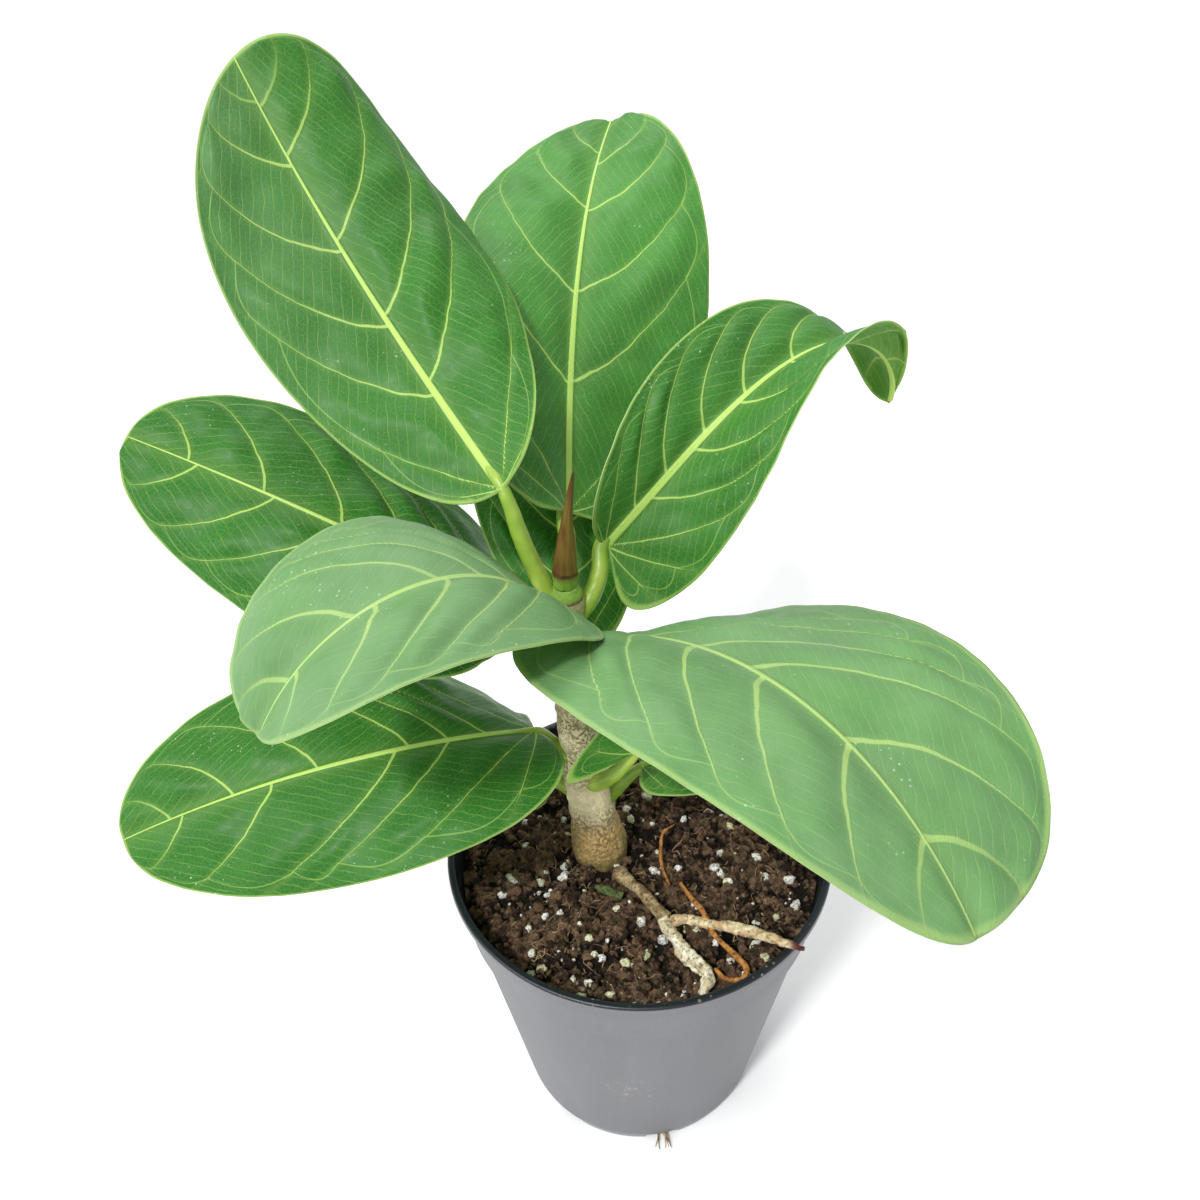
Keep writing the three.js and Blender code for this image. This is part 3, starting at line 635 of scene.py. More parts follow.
def count_veins(leaf, u, v, across):
    """How many side veins a point of the blade has passed, and the gap between them there in millimetres.
    Beyond the steep lowest pair they cross the blade in turn; behind it they fan out from the stalk."""
    away = np.abs(v)
    lean = mix(0.75, 0.45, ease(u / leaf["length"], 0.0, 0.3))
    ahead = away * (lean + 1.05 * across)
    reached = (u - ahead) / leaf["length"]
    count = np.zeros_like(u)
    gap = np.zeros_like(u)
    for side, name in ((v >= 0, "left_veins"), (v < 0, "right_veins")):
        starts = np.array(leaf[name], float)
        spacing = np.diff(starts)
        beyond = starts[-1] + spacing[-1] * np.arange(1, 4)
        starts = np.concatenate([starts, beyond])
        counted = np.interp(reached, starts, np.arange(len(starts)))
        count = np.where(side, counted, count)
        apart = np.interp(reached, (starts[1:] + starts[:-1]) / 2, np.diff(starts))
        gap = np.where(side, apart * leaf["length"] * 0.85, gap)
    fan = math.radians(33)
    short = np.arctan2(ahead, away + 1e-6) - np.arctan2(u, away + 1e-6)
    behind = reached < 0
    count = np.where(behind, -short / fan, count)
    gap = np.where(behind, np.hypot(u, away) * fan, gap)
    return count, gap


def blade_lift(settings, count, known, points, seed):
    """How far a point of the blade stands out of its even surface: bulges between side veins, a shallow
    trough along the midrib, and slow waves towards the margin."""
    bulge = np.abs(np.sin(np.pi * count)) ** 0.9
    room = ease(known["across"], 0.02, 0.3) * (1 - ease(known["across"], 0.7, 0.95)) * ease(known["u"], 2, 30)
    uneven = np.array([noise.noise(Vector(p) / 16 + Vector((seed, 0, 0))) for p in points])
    slow = np.array([noise.noise(Vector(p) / 34 + Vector((0, seed, 0))) for p in points])
    dents = np.array([noise.noise(Vector(p) / 7 + Vector((0, 0, seed))) for p in points])
    trough = -0.5 * np.exp(-(known["v"] / 3.5) ** 2)
    ridge = 0.45 * np.exp(-(known["v"] / 1.1) ** 2) * (1 - ease(known["u"], 60, 150))
    lift = settings.quilting * bulge * room * (0.6 + 1.4 * uneven) + trough + ridge
    return (lift + 1.5 * slow * known["across"] * ease(known["u"], 0, 30)
            + 0.42 * dents * ease(known["across"], 0.03, 0.2))


def build_blade(bm, leaf, settings, seed):
    """The blade as one closed shell: its upper side, a copy below it, and a strip joining their edges."""
    blade = bm.verts.layers.float_vector.new("blade")
    vein = bm.verts.layers.float_vector.new("vein")
    arch = bm.verts.layers.float.new("arch")
    made = bmesh.ops.create_grid(
        bm, x_segments=settings.squares_along, y_segments=settings.squares_across, size=1.0)["verts"]
    a = np.array([vert.co.x for vert in made])
    b = np.array([vert.co.y for vert in made])
    b = b * (0.5 + 0.5 * np.abs(b))
    points, known = place_blade(leaf, a, b)
    count, gap = count_veins(leaf, known["u"], known["v"], known["across"])
    near_edge = np.full_like(count, ARCH_SHARE)
    beside = known["v"] * ARCH_SHARE / np.maximum(known["across"], 0.05)
    arches, _ = count_veins(leaf, known["u"], beside, near_edge)
    lift = blade_lift(settings, count, known, points, seed)
    for i, vert in enumerate(made):
        vert.co = points[i]
        vert[blade] = (known["u"][i], known["v"][i], known["across"][i])
        vert[vein] = (count[i] + 20, gap[i], known["margin"][i])
        vert[arch] = arches[i] + 20
    bm.normal_update()
    for i, vert in enumerate(made):
        vert.co += vert.normal * float(lift[i])
    bm.normal_update()
    upper_edges = [edge for edge in bm.edges if edge.is_boundary]
    copied = bmesh.ops.duplicate(bm, geom=list(bm.verts) + list(bm.edges) + list(bm.faces))
    lower = [item for item in copied["geom"] if isinstance(item, bmesh.types.BMVert)]
    lower_faces = [item for item in copied["geom"] if isinstance(item, bmesh.types.BMFace)]
    for vert in lower:
        u, v, across = vert[blade]
        swell = math.exp(-(v / 1.7) ** 2) * mix(1.5, 0.25, min(1.0, max(0.0, u / leaf["length"])))
        vert.co -= vert.normal * (settings.thickness * (1 - 0.5 * across ** 6) + swell)
    for face in lower_faces:
        face.material_index = 1
    bmesh.ops.reverse_faces(bm, faces=lower_faces)
    lower_edges = [edge for face in lower_faces for edge in face.edges if edge.is_boundary]
    strip = bmesh.ops.bridge_loops(bm, edges=upper_edges + lower_edges)["faces"]
    for face in strip:
        face.material_index = 2


def build_stalk(bm, leaf, settings):
    """The stalk, from inside the bark to where it runs out along the underside of the blade."""
    u = np.array([0.0, 0.1, 0.26]) * 2 - 1
    rib, _ = place_blade(leaf, u, np.zeros(3))
    step, _ = place_blade(leaf, u + 0.02, np.zeros(3))
    beside, _ = place_blade(leaf, u, np.full(3, 0.03))
    up = np.cross(step - rib, beside - rib)
    up /= np.linalg.norm(up, axis=1)[:, None]
    line = list(leaf["stalk"]) + [tuple(rib[i] - up[i] * below) for i, below in enumerate((1.7, 1.9, 1.2))]
    radii = (settings.stalk_radius * 1.12, settings.stalk_radius, 2.3, 1.75, 1.4, 1.0, 0.4)

    def relief(place, t, turn):
        return 0.1 * noise.noise(place / 2.5) - 0.12 * max(0.0, math.cos(turn)) ** 3

    add_rod(bm, line, lambda t: along_list(radii, t), 28, 90, relief, material=3)


def leaf_skin(name, leaf, settings, upper):
    """Upper or lower skin of one leaf, with its veins, network, specks of dust, painted shade and, on the
    upper side, a painted sheen.
    """
    material, tree, shader = new_material(name, 0.2)
    blade = put(tree, "Attribute", attribute_name="blade").outputs["Vector"]
    vein = put(tree, "Attribute", attribute_name="vein").outputs["Vector"]
    arch = put(tree, "Attribute", attribute_name="arch").outputs["Fac"]
    place = place_of(tree)
    wide = leaf["wide"]
    # The pale margin is the blade's own rim. On the near leaves, whose wide is large, it is widened into a
    # painted highlight along the rolled-under edge.
    widths = {"Midrib width": 0.62 + 0.23 * wide, "Vein width": 0.28 * wide,
              "Margin width": 0.7 * wide ** 1.5}
    places = {"Blade": blade, "Vein": vein, "Arch": arch, "Length": leaf["length"]}
    veins = use_group(tree, "Leaf veins", {**places, **widths})
    mottle = between(tree, cloud(tree, place, 45.0, 4.0), 0.3, 0.7, 0.1, 0.6)
    fine = cloud(tree, place, 420.0, 3.0)
    if upper:
        base = tint(tree, mottle, settings.bright_green, settings.deep_green)
        # Painted shade: a leaf that lies in shadow is darkened towards the shade green by its shade value.
        base = tint(tree, leaf["shade"], base, settings.deep_green)
    else:
        pale = tuple(mix(value, target, 0.5) for value, target in zip(settings.under_green, (0.2, 0.4, 0.1)))
        base = tint(tree, mottle, settings.under_green, pale)
    vein_colour = settings.vein_green
    near = times(tree, veins["Halo"], 0.08)
    base = tint(tree, near, base, vein_colour)
    base = tint(tree, times(tree, veins["Network"], 0.2 if upper else 0.3), base, vein_colour)
    base = tint(tree, veins["Veins"], base, vein_colour, 0.82)
    base = tint(tree, veins["Midrib"], base, shaded(vein_colour, 1.12))
    base = tint(tree, veins["Margin"], base, vein_colour, 0.55)
    # Painted sheen: a pale haze in patches that stands in for soft reflected light. It is stronger on the
    # near leaves and towards the tip and left half of the tall left leaf.
    along, sideways, _ = axes_of(tree, blade)
    to_tip = between(tree, along, 0.1 * leaf["length"], 0.9 * leaf["length"], 0.0, leaf.get("tip_sheen", 0.0))
    to_left = between(tree, sideways, -14.0, 14.0, 0.15, 1.0)
    painted_sheen = plus(tree, times(tree, to_tip, to_left), leaf["painted_sheen"])
    patches = between(tree, cloud(tree, place, 28.0, 5.0, 0.65), 0.2, 0.75, 0.55, 1.0)
    film = times(tree, patches, painted_sheen)
    if upper:
        base = tint(tree, film, base, settings.sheen_colour)
    dust = specks(tree, place, 700.0, 0.26, 0.42)
    base = tint(tree, times(tree, dust, 0.5 if upper else 0.15), base, (0.62, 0.72, 0.58))
    rough = plus(tree, between(tree, fine, 0.3, 0.7, 0.36, 0.47), times(tree, film, 0.25))
    if not upper:
        rough = plus(tree, rough, 0.15)
    height = plus(tree, veins["Height"], times(tree, fine, 0.12))
    set_surface(tree, shader, base, rough, height, depth=0.00025, strength=0.8)
    return material


def edge_skin():
    """The pale thin edge of a blade."""
    material, tree, shader = new_material("Leaf edge")
    mottle = cloud(tree, place_of(tree), 150.0)
    colour_found = tint(tree, mottle, (0.3, 0.44, 0.14), (0.48, 0.58, 0.28))
    set_surface(tree, shader, colour_found, 0.45, mottle, depth=0.0001)
    return material


def stalk_skin():
    """Smooth yellow-green stalk with fine streaks and a few rusty freckles."""
    material, tree, shader = new_material("Stalk skin")
    place = place_of(tree)
    mottle = between(tree, cloud(tree, place, 70.0, 4.0), 0.3, 0.7)
    base = tint(tree, mottle, (0.19, 0.36, 0.035), (0.36, 0.48, 0.06))
    freckles = specks(tree, place, 900.0, 0.32, 0.4)
    base = tint(tree, freckles, base, (0.2, 0.14, 0.04), 0.35)
    set_surface(tree, shader, base, between(tree, mottle, 0.0, 1.0, 0.32, 0.42), mottle, depth=0.0002)
    return material


class FIG_OT_leaves(bpy.types.Operator):
    """Build every leaf: blade, veins and stalk"""
    bl_idname = "fig.leaves"
    bl_label = "Build leaves"

    def execute(self, context):
        settings = context.scene.fig_leaf
        edge = edge_skin()
        stalk = stalk_skin()
        for order, (name, leaf) in enumerate(LEAVES.items()):
            bm = bmesh.new()
            build_blade(bm, leaf, settings, 7.3 * order + 3)
            build_stalk(bm, leaf, settings)
            skins = [leaf_skin(name + " upper", leaf, settings, True),
                     leaf_skin(name + " under", leaf, settings, False), edge, stalk]
            make_piece(name + "_blade", bm, skins, (name,))
        return {"FINISHED"}


# ---------------------------------------------------------------- stem, sheath and roots

# Heights and compass turns, in degrees, of the scars that fallen leaves left, and where leaves still grow.
NODES = ((112, 250), (120, 20), (126, 200), (137.5, 330), (147, 215), (154, 20), (162, 120), (168, 90),
         (178, 310), (183, 170), (189, 250), (194, 240), (199, 120))


def bark_relief(place, t, turn):
    """Rings and bumps at the nodes, shallow cracks along the stem, and corky grain low down."""
    height = place.z
    rise = 0.0
    for level, side in NODES:
        near = math.exp(-((height - level) / 1.1) ** 2)
        facing = max(0.0, math.cos(turn - math.radians(side)))
        rise += near * (0.18 + 0.5 * facing ** 4)
    cracks = noise.noise(Vector((place.x / 1.6, place.y / 1.6, place.z / 9)))
    grain = noise.noise(place / 1.1)
    old = float(1 - ease(height, 110, 160))
    rounded = -1.1 * float(ease(height, 202, 204.6))
    return (rise + rounded + 0.22 * cracks * (0.4 + old) + 0.13 * grain * (0.3 + old)
            + 0.35 * noise.noise(place / 7))


def bark_skin(settings):
    """Beige bark with brown dots and fine cracks, greener and smoother towards the top."""
    material, tree, shader = new_material("Bark", 0.35)
    place = place_of(tree)
    parts = axes_of(tree, place)
    stretched = scaled(tree, place, (1.0, 1.0, 0.35))
    broad = between(tree, cloud(tree, place, 110.0, 4.0), 0.3, 0.7)
    base = tint(tree, broad, settings.bark_pale, shaded(settings.bark_pale, 0.78))
    young = between(tree, parts[2], 0.135, 0.2)
    base = tint(tree, young, base, settings.young_bark, 0.75)
    golden = times(tree, between(tree, parts[2], 0.124, 0.112), 0.8)
    base = tint(tree, golden, base, (0.62, 0.4, 0.13))
    mossy = between(tree, parts[2], 0.11, 0.1)
    base = tint(tree, mossy, base, (0.2, 0.19, 0.05), 0.6)
    stipple = between(tree, cloud(tree, place, 1050.0, 4.0, 0.7), 0.48, 0.57)
    worn = between(tree, cloud(tree, place, 150.0, 4.0), 0.35, 0.65, 0.45, 1.0)
    clean = between(tree, off(tree, parts[2], 0.129), 0.003, 0.009, 0.25, 1.0)
    older = times(tree, between(tree, parts[2], 0.19, 0.16, 0.3, 1.0), clean)
    stipple = times(tree, times(tree, stipple, worn), older)
    blotch = between(tree, cloud(tree, place, 170.0, 6.0, 0.7), 0.57, 0.7)
    patch = distance_from(tree, place, (-0.0165, -0.008, 0.1175))
    blotch = plus(tree, times(tree, blotch, 0.4), between(tree, patch, 0.0045, 0.001, 0.0, 0.5))
    dots = specks(tree, place, 760.0, 0.4, 0.6)
    dark = calc(tree, "MAXIMUM", times(tree, stipple, 0.8), blotch, clamp=True)
    dark = calc(tree, "MAXIMUM", dark, times(tree, dots, 0.7))
    base = tint(tree, dark, base, settings.bark_dark)
    ring = between(tree, off(tree, parts[2], 0.2012), 0.0006, 0.0002, 0.0, 0.8)
    base = tint(tree, between(tree, parts[2], 0.2012, 0.202), base, (0.22, 0.38, 0.055))
    base = tint(tree, ring, base, (0.16, 0.06, 0.02))
    grain = cloud(tree, stretched, 900.0, 5.0)
    height = minus(tree, grain, times(tree, stipple, 0.5))
    set_surface(tree, shader, base, between(tree, grain, 0.3, 0.7, 0.55, 0.8), height, depth=0.0005)
    return material


def sheath_skin(settings):
    """Glossy sheath: green foot, olive lit side, reddish brown streaks towards the tip."""
    material, tree, shader = new_material("Sheath skin")
    place = place_of(tree)
    parts = axes_of(tree, place)
    streaks = scaled(tree, place, (1.0, 1.0, 0.09))
    streaky = between(tree, cloud(tree, streaks, 700.0, 4.0), 0.36, 0.6)
    lit = between(tree, parts[0], -0.0205, -0.0165)
    base = tint(tree, times(tree, lit, 0.3), settings.sheath_brown, settings.sheath_olive)
    base = tint(tree, streaky, base, settings.sheath_olive, 0.34)
    foot = between(tree, parts[2], 0.2095, 0.2065)
    seam = off(tree, parts[2], 0.2092)
    base = tint(tree, foot, base, (0.2, 0.36, 0.05))
    base = tint(tree, between(tree, seam, 0.0007, 0.0003, 0.0, 0.8), base, (0.06, 0.02, 0.008))
    tip = between(tree, parts[2], 0.226, 0.238)
    base = tint(tree, tip, base, (0.09, 0.02, 0.01), 0.8)
    set_surface(tree, shader, base, 0.32, streaky, depth=0.00012)
    return material


def root_skin(name, pale, dark, tip=None):
    """Flaky root skin, darker brown in its creases; tip is (colour, x where it starts, x where it is full).
    """
    material, tree, shader = new_material(name, 0.3)
    place = place_of(tree)
    parts = axes_of(tree, place)
    mottle = between(tree, cloud(tree, place, 330.0, 5.0, 0.65), 0.38, 0.64)
    base = tint(tree, mottle, pale, dark)
    if tip:
        base = tint(tree, between(tree, parts[0], tip[1], tip[2]), base, tip[0])
    creases = between(tree, cloud(tree, place, 900.0, 6.0, 0.75), 0.54, 0.64)
    base = tint(tree, creases, base, (0.12, 0.065, 0.03), 0.45)
    set_surface(tree, shader, base, 0.75, minus(tree, mottle, creases), depth=0.0004)
    return material


class FIG_OT_stem(bpy.types.Operator):
    """Build the woody stem with its buried roots, and the sheath at its tip"""
    bl_idname = "fig.stem"
    bl_label = "Build stem"

    def execute(self, context):
        settings = context.scene.fig_stem
        bm = bmesh.new()
        add_rod(bm, STEM_LINE, lambda t: along_list(STEM_RADII, t), 72, 260, bark_relief)
        for line, radii in BURIED_ROOTS:
            add_rod(bm, line, lambda t, radii=radii: along_list(radii, t), 14, 40)
        make_piece("stem", bm, [bark_skin(settings)], ("trunk",))

        def seam(place, t, turn):
            return 0.28 * math.cos(turn + 9 * t) ** 6 * (1 - t) + 0.08 * math.sin(turn * 9)

        bm = bmesh.new()
        radii = (2.9, 3.2, 2.9, 2.3, 1.7, 1.3, 0.9, 0.6, 0.15)
        add_rod(bm, SHEATH_LINE, lambda t: along_list(radii, t), 40, 110, seam)
        make_piece("sheath", bm, [sheath_skin(settings)], ("growing_tip_sheath",))
        return {"FINISHED"}


# The roots that lie on the soil: name, the CAD node each stands for, its slot, line, radii and knobbliness.
TAN, WHITISH, ORANGE, MOSSY, SIDE = "Tan root", "Whitish root", "Orange root", "Mossy root", "Side root"
LYING_ROOTS = (
    ("root_thick", "root_main", "root_skin", TAN, 0.5,
     ((-6.6, -9.4, 101), (-3.4, -14, 103.2), (0.4, -18.2, 103.4), (3.4, -22, 103.2), (7.6, -27.8, 103.6)),
     (2.6, 2.1, 1.6, 1.9, 1.7, 2.0)),
    ("root_forked", "root_fork", "root_pale", WHITISH, 0.7,
     ((6.8, -27.6, 103.2), (10, -33.6, 102.8), (14.6, -40, 102.6), (18.2, -44, 102.8), (18.8, -48.6, 102.4),
      (16.6, -51.4, 101.6)),
     (1.7, 1.9, 1.6, 2.0, 1.6, 1.9, 0.8)),
    ("root_over_rim", "root_side", "root_skin", SIDE, 0.45,
     ((9.2, -29, 103.4), (13.4, -28.6, 104.2), (18, -29.8, 104.4), (26.5, -32.6, 105.8), (35, -37, 108.6),
      (45.6, -43.9, 111.6)),
     (1.7, 1.5, 1.5, 1.7, 1.6, 1.3, 0.7)),
    ("root_looped", "root_loop", "root_orange", ORANGE, 0.2,
     ((12.4, -14, 102.2), (15.4, -19.6, 102.6), (18.6, -27, 105.6), (21.6, -33.6, 104), (27, -39, 102.4),
      (30.2, -43.6, 102.2), (28.4, -47, 102.2), (24, -46.6, 102), (21.4, -43.4, 101.8)),
     (0.5, 0.8, 0.8, 0.7, 0.9, 0.8, 0.6)),
    ("root_thin_curved", "root_thin", "root_orange", ORANGE, 0.12,
     ((11, 9.6, 101.8), (7.4, 5, 103), (6.6, -1, 103), (6.8, -8, 102.8), (9, -14.4, 102)),
     (0.3, 0.5, 0.55, 0.5, 0.3)),
    ("root_mossy_stub", "root_green_stub", "root_green", MOSSY, 0.5,
     ((-13.6, -14.6, 101.4), (-9.6, -16.8, 102.2), (-5.2, -18.8, 102)),
     (0.7, 1.5, 1.2)),
)


class FIG_OT_roots(bpy.types.Operator):
    """Build the roots that lie on the soil, and the tuft at a drain"""
    bl_idname = "fig.roots"
    bl_label = "Build roots"

    def execute(self, context):
        skins = {
            TAN: root_skin(TAN, (0.5, 0.38, 0.2), (0.2, 0.12, 0.055)),
            WHITISH: root_skin(WHITISH, (0.93, 0.86, 0.68), (0.64, 0.52, 0.3)),
            ORANGE: root_skin(ORANGE, (0.6, 0.27, 0.07), (0.4, 0.15, 0.04)),
            MOSSY: root_skin(MOSSY, (0.15, 0.19, 0.06), (0.07, 0.09, 0.03)),
            SIDE: root_skin(SIDE, (0.88, 0.73, 0.47), (0.6, 0.4, 0.2), ((0.13, 0.03, 0.02), 0.04, 0.0435)),
        }
        for name, node, slot, skin, knobs, line, radii in LYING_ROOTS:
            bm = bmesh.new()

            def relief(place, t, turn, knobs=knobs):
                return knobs * (noise.noise(place / 2.2) + 0.5 * noise.noise(place / 0.9))

            add_rod(bm, line, lambda t, radii=radii: along_list(radii, t), 20, 110, relief)
            if node == "root_fork":
                twin = ((9.6, -33, 102.2), (11.4, -38.4, 101.8), (14.6, -42.6, 101.8), (17.4, -45.6, 101.8))
                add_rod(bm, twin, lambda t: along_list((0.8, 1.1, 1.0, 0.5), t), 14, 50, relief)
            make_piece(name, bm, [skins[skin]], (node,))
        bm = bmesh.new()
        rng = random.Random(TUFT_SEED)
        turn = math.radians(context.scene.fig_pot.drain_turn - 90)
        out = Vector((math.cos(turn), math.sin(turn), 0))
        beside = Vector((-math.sin(turn), math.cos(turn), 0))

        def at_drain(forward, aside, height):
            return out * forward + beside * aside + Vector((0, 0, height))

        for _ in range(9):
            start = at_drain(34, rng.uniform(-1.2, 1.2), 2)
            middle = at_drain(40.4, rng.uniform(-1.6, 1.6), rng.uniform(0.8, 1.8))
            tip = at_drain(rng.uniform(43, 46.4), rng.uniform(-3, 3), rng.uniform(0.3, 1.6))
            add_rod(bm, (start, middle, tip), lambda t: mix(0.4, 0.1, t), 8, 16)
        make_piece("root_tuft_at_drain", bm, [skins[TAN]], ("root_at_drain",))
        return {"FINISHED"}


# ---------------------------------------------------------------- soil

def soil_reach(height):
    """Radius of the soil at a height: the pot's inside, less a hair."""
    low, high = POT_LOW.z + FLOOR_HEIGHT, POT_HIGH.z - COLLAR_DEPTH
    at_floor, under_collar, in_collar, at_rim = SOIL_RADII
    if height > high:
        return mix(in_collar, at_rim, (height - high) / COLLAR_DEPTH)
    return mix(at_floor, under_collar, (height - low) / (high - low))


def soil_height(x, y, settings):
    """Height of the soil bed, with a low crown, a hollow by the stem, clods and grains; and how far it lies
    below the crumbs round it, more so in the hollow. That sets where loose crumbs sit and how dark painted
    shade makes the bed there."""
    spread = math.hypot(x, y)
    place = Vector((x, y, 0))
    bed = settings.level + settings.crown * math.cos(min(1.0, spread / 56) * math.pi / 2)
    hollow = (4.2 * math.exp(-((x - 4) ** 2 + (y - 6) ** 2) / 60)
              + 1.6 * math.exp(-((x + 50) ** 2 + (y + 22) ** 2) / 50))
    far = noise.voronoi(place / 6.5 + Vector((2, 5, 1)))[0][0]
    near = noise.voronoi(place / 2.5 + Vector((3, 7, 1)))[0][0]
    clods = 1.4 * noise.noise(place / 11) + 3.8 * (0.42 - min(1.0, far))
    grains = 2.6 * (0.42 - min(1.0, near)) + 1.1 * noise.noise(place / 1.1)
    return bed - hollow + clods + grains - 0.6, max(0.0, 0.6 - clods - grains) + 0.5 * hollow


def peat_skin(settings, loose):
    """Damp fibrous peat, reddish brown on the crumbs, with pale flecks; on the bed, painted shade makes it
    near black in the gaps. Each loose crumb is darker or lighter at random."""
    material, tree, shader = new_material("Loose peat" if loose else "Peat", 0.25)
    place = place_of(tree)
    broad = between(tree, cloud(tree, place, 240.0, 6.0, 0.72), 0.36, 0.64)
    fine = between(tree, cloud(tree, place, 1100.0, 5.0, 0.75), 0.38, 0.62)
    base = tint(tree, times(tree, broad, 0.9), settings.peat_dark, settings.peat_light)
    base = tint(tree, fine, base, (0.42, 0.28, 0.18), 0.5)
    threads = scaled(tree, place, (1.0, 0.18, 1.0), (0.6, 0.9, 0.3))
    fibre = between(tree, cloud(tree, threads, 1500.0, 3.0), 0.6, 0.68)
    base = tint(tree, fibre, base, (0.42, 0.29, 0.17), 0.55)
    flecks = specks(tree, place, 620.0, 0.4, 0.44)
    base = tint(tree, flecks, base, (0.75, 0.68, 0.52), 0.8)
    if loose:
        own = put(tree, "NewGeometry").outputs["Random Per Island"]
        base = tint(tree, between(tree, own, 0.0, 0.75, 0.85, 0.0), base, (0.014, 0.008, 0.005))
    else:
        # Painted shade: the bed is painted nearer black where it lies low among the crumbs round it and in
        # the hollow by the stem.
        painted_shade_depth = put(tree, "Attribute", attribute_name="painted_shade_depth").outputs["Fac"]
        base = tint(tree, between(tree, painted_shade_depth, 0.4, 2.2, 0.0, 0.95), base, (0.008, 0.005, 0.003))
    height = plus(tree, fine, times(tree, fibre, 0.5))
    set_surface(tree, shader, base, between(tree, broad, 0.0, 1.0, 0.62, 0.95), height, depth=0.0006)
    return material


def grit_skin():
    """White porous grain with grey pits, some stained green or brown."""
    material, tree, shader = new_material("Grit", 0.4)
    place = place_of(tree)
    pores = put(tree, "TexVoronoi", {"Vector": place, "Scale": 1500.0}).outputs["Distance"]
    pits = between(tree, pores, 0.12, 0.4)
    broad = between(tree, cloud(tree, place, 90.0, 3.0), 0.45, 0.62)
    stain = between(tree, cloud(tree, place, 420.0, 4.0), 0.42, 0.7)
    base = tint(tree, broad, (0.86, 0.84, 0.82), (0.7, 0.7, 0.42))
    base = tint(tree, stain, base, (0.3, 0.2, 0.13), 0.35)
    base = tint(tree, minus(tree, 1.0, pits), base, (0.4, 0.37, 0.36))
    set_surface(tree, shader, base, 0.7, pits, depth=0.0005)
    return material


def fibre_skin(name, light, dark):
    material, tree, shader = new_material(name, 0.3)
    mottle = between(tree, cloud(tree, place_of(tree), 160.0, 3.0), 0.4, 0.6)
    set_surface(tree, shader, tint(tree, mottle, light, dark), 0.7, mottle, depth=0.0002)
    return material


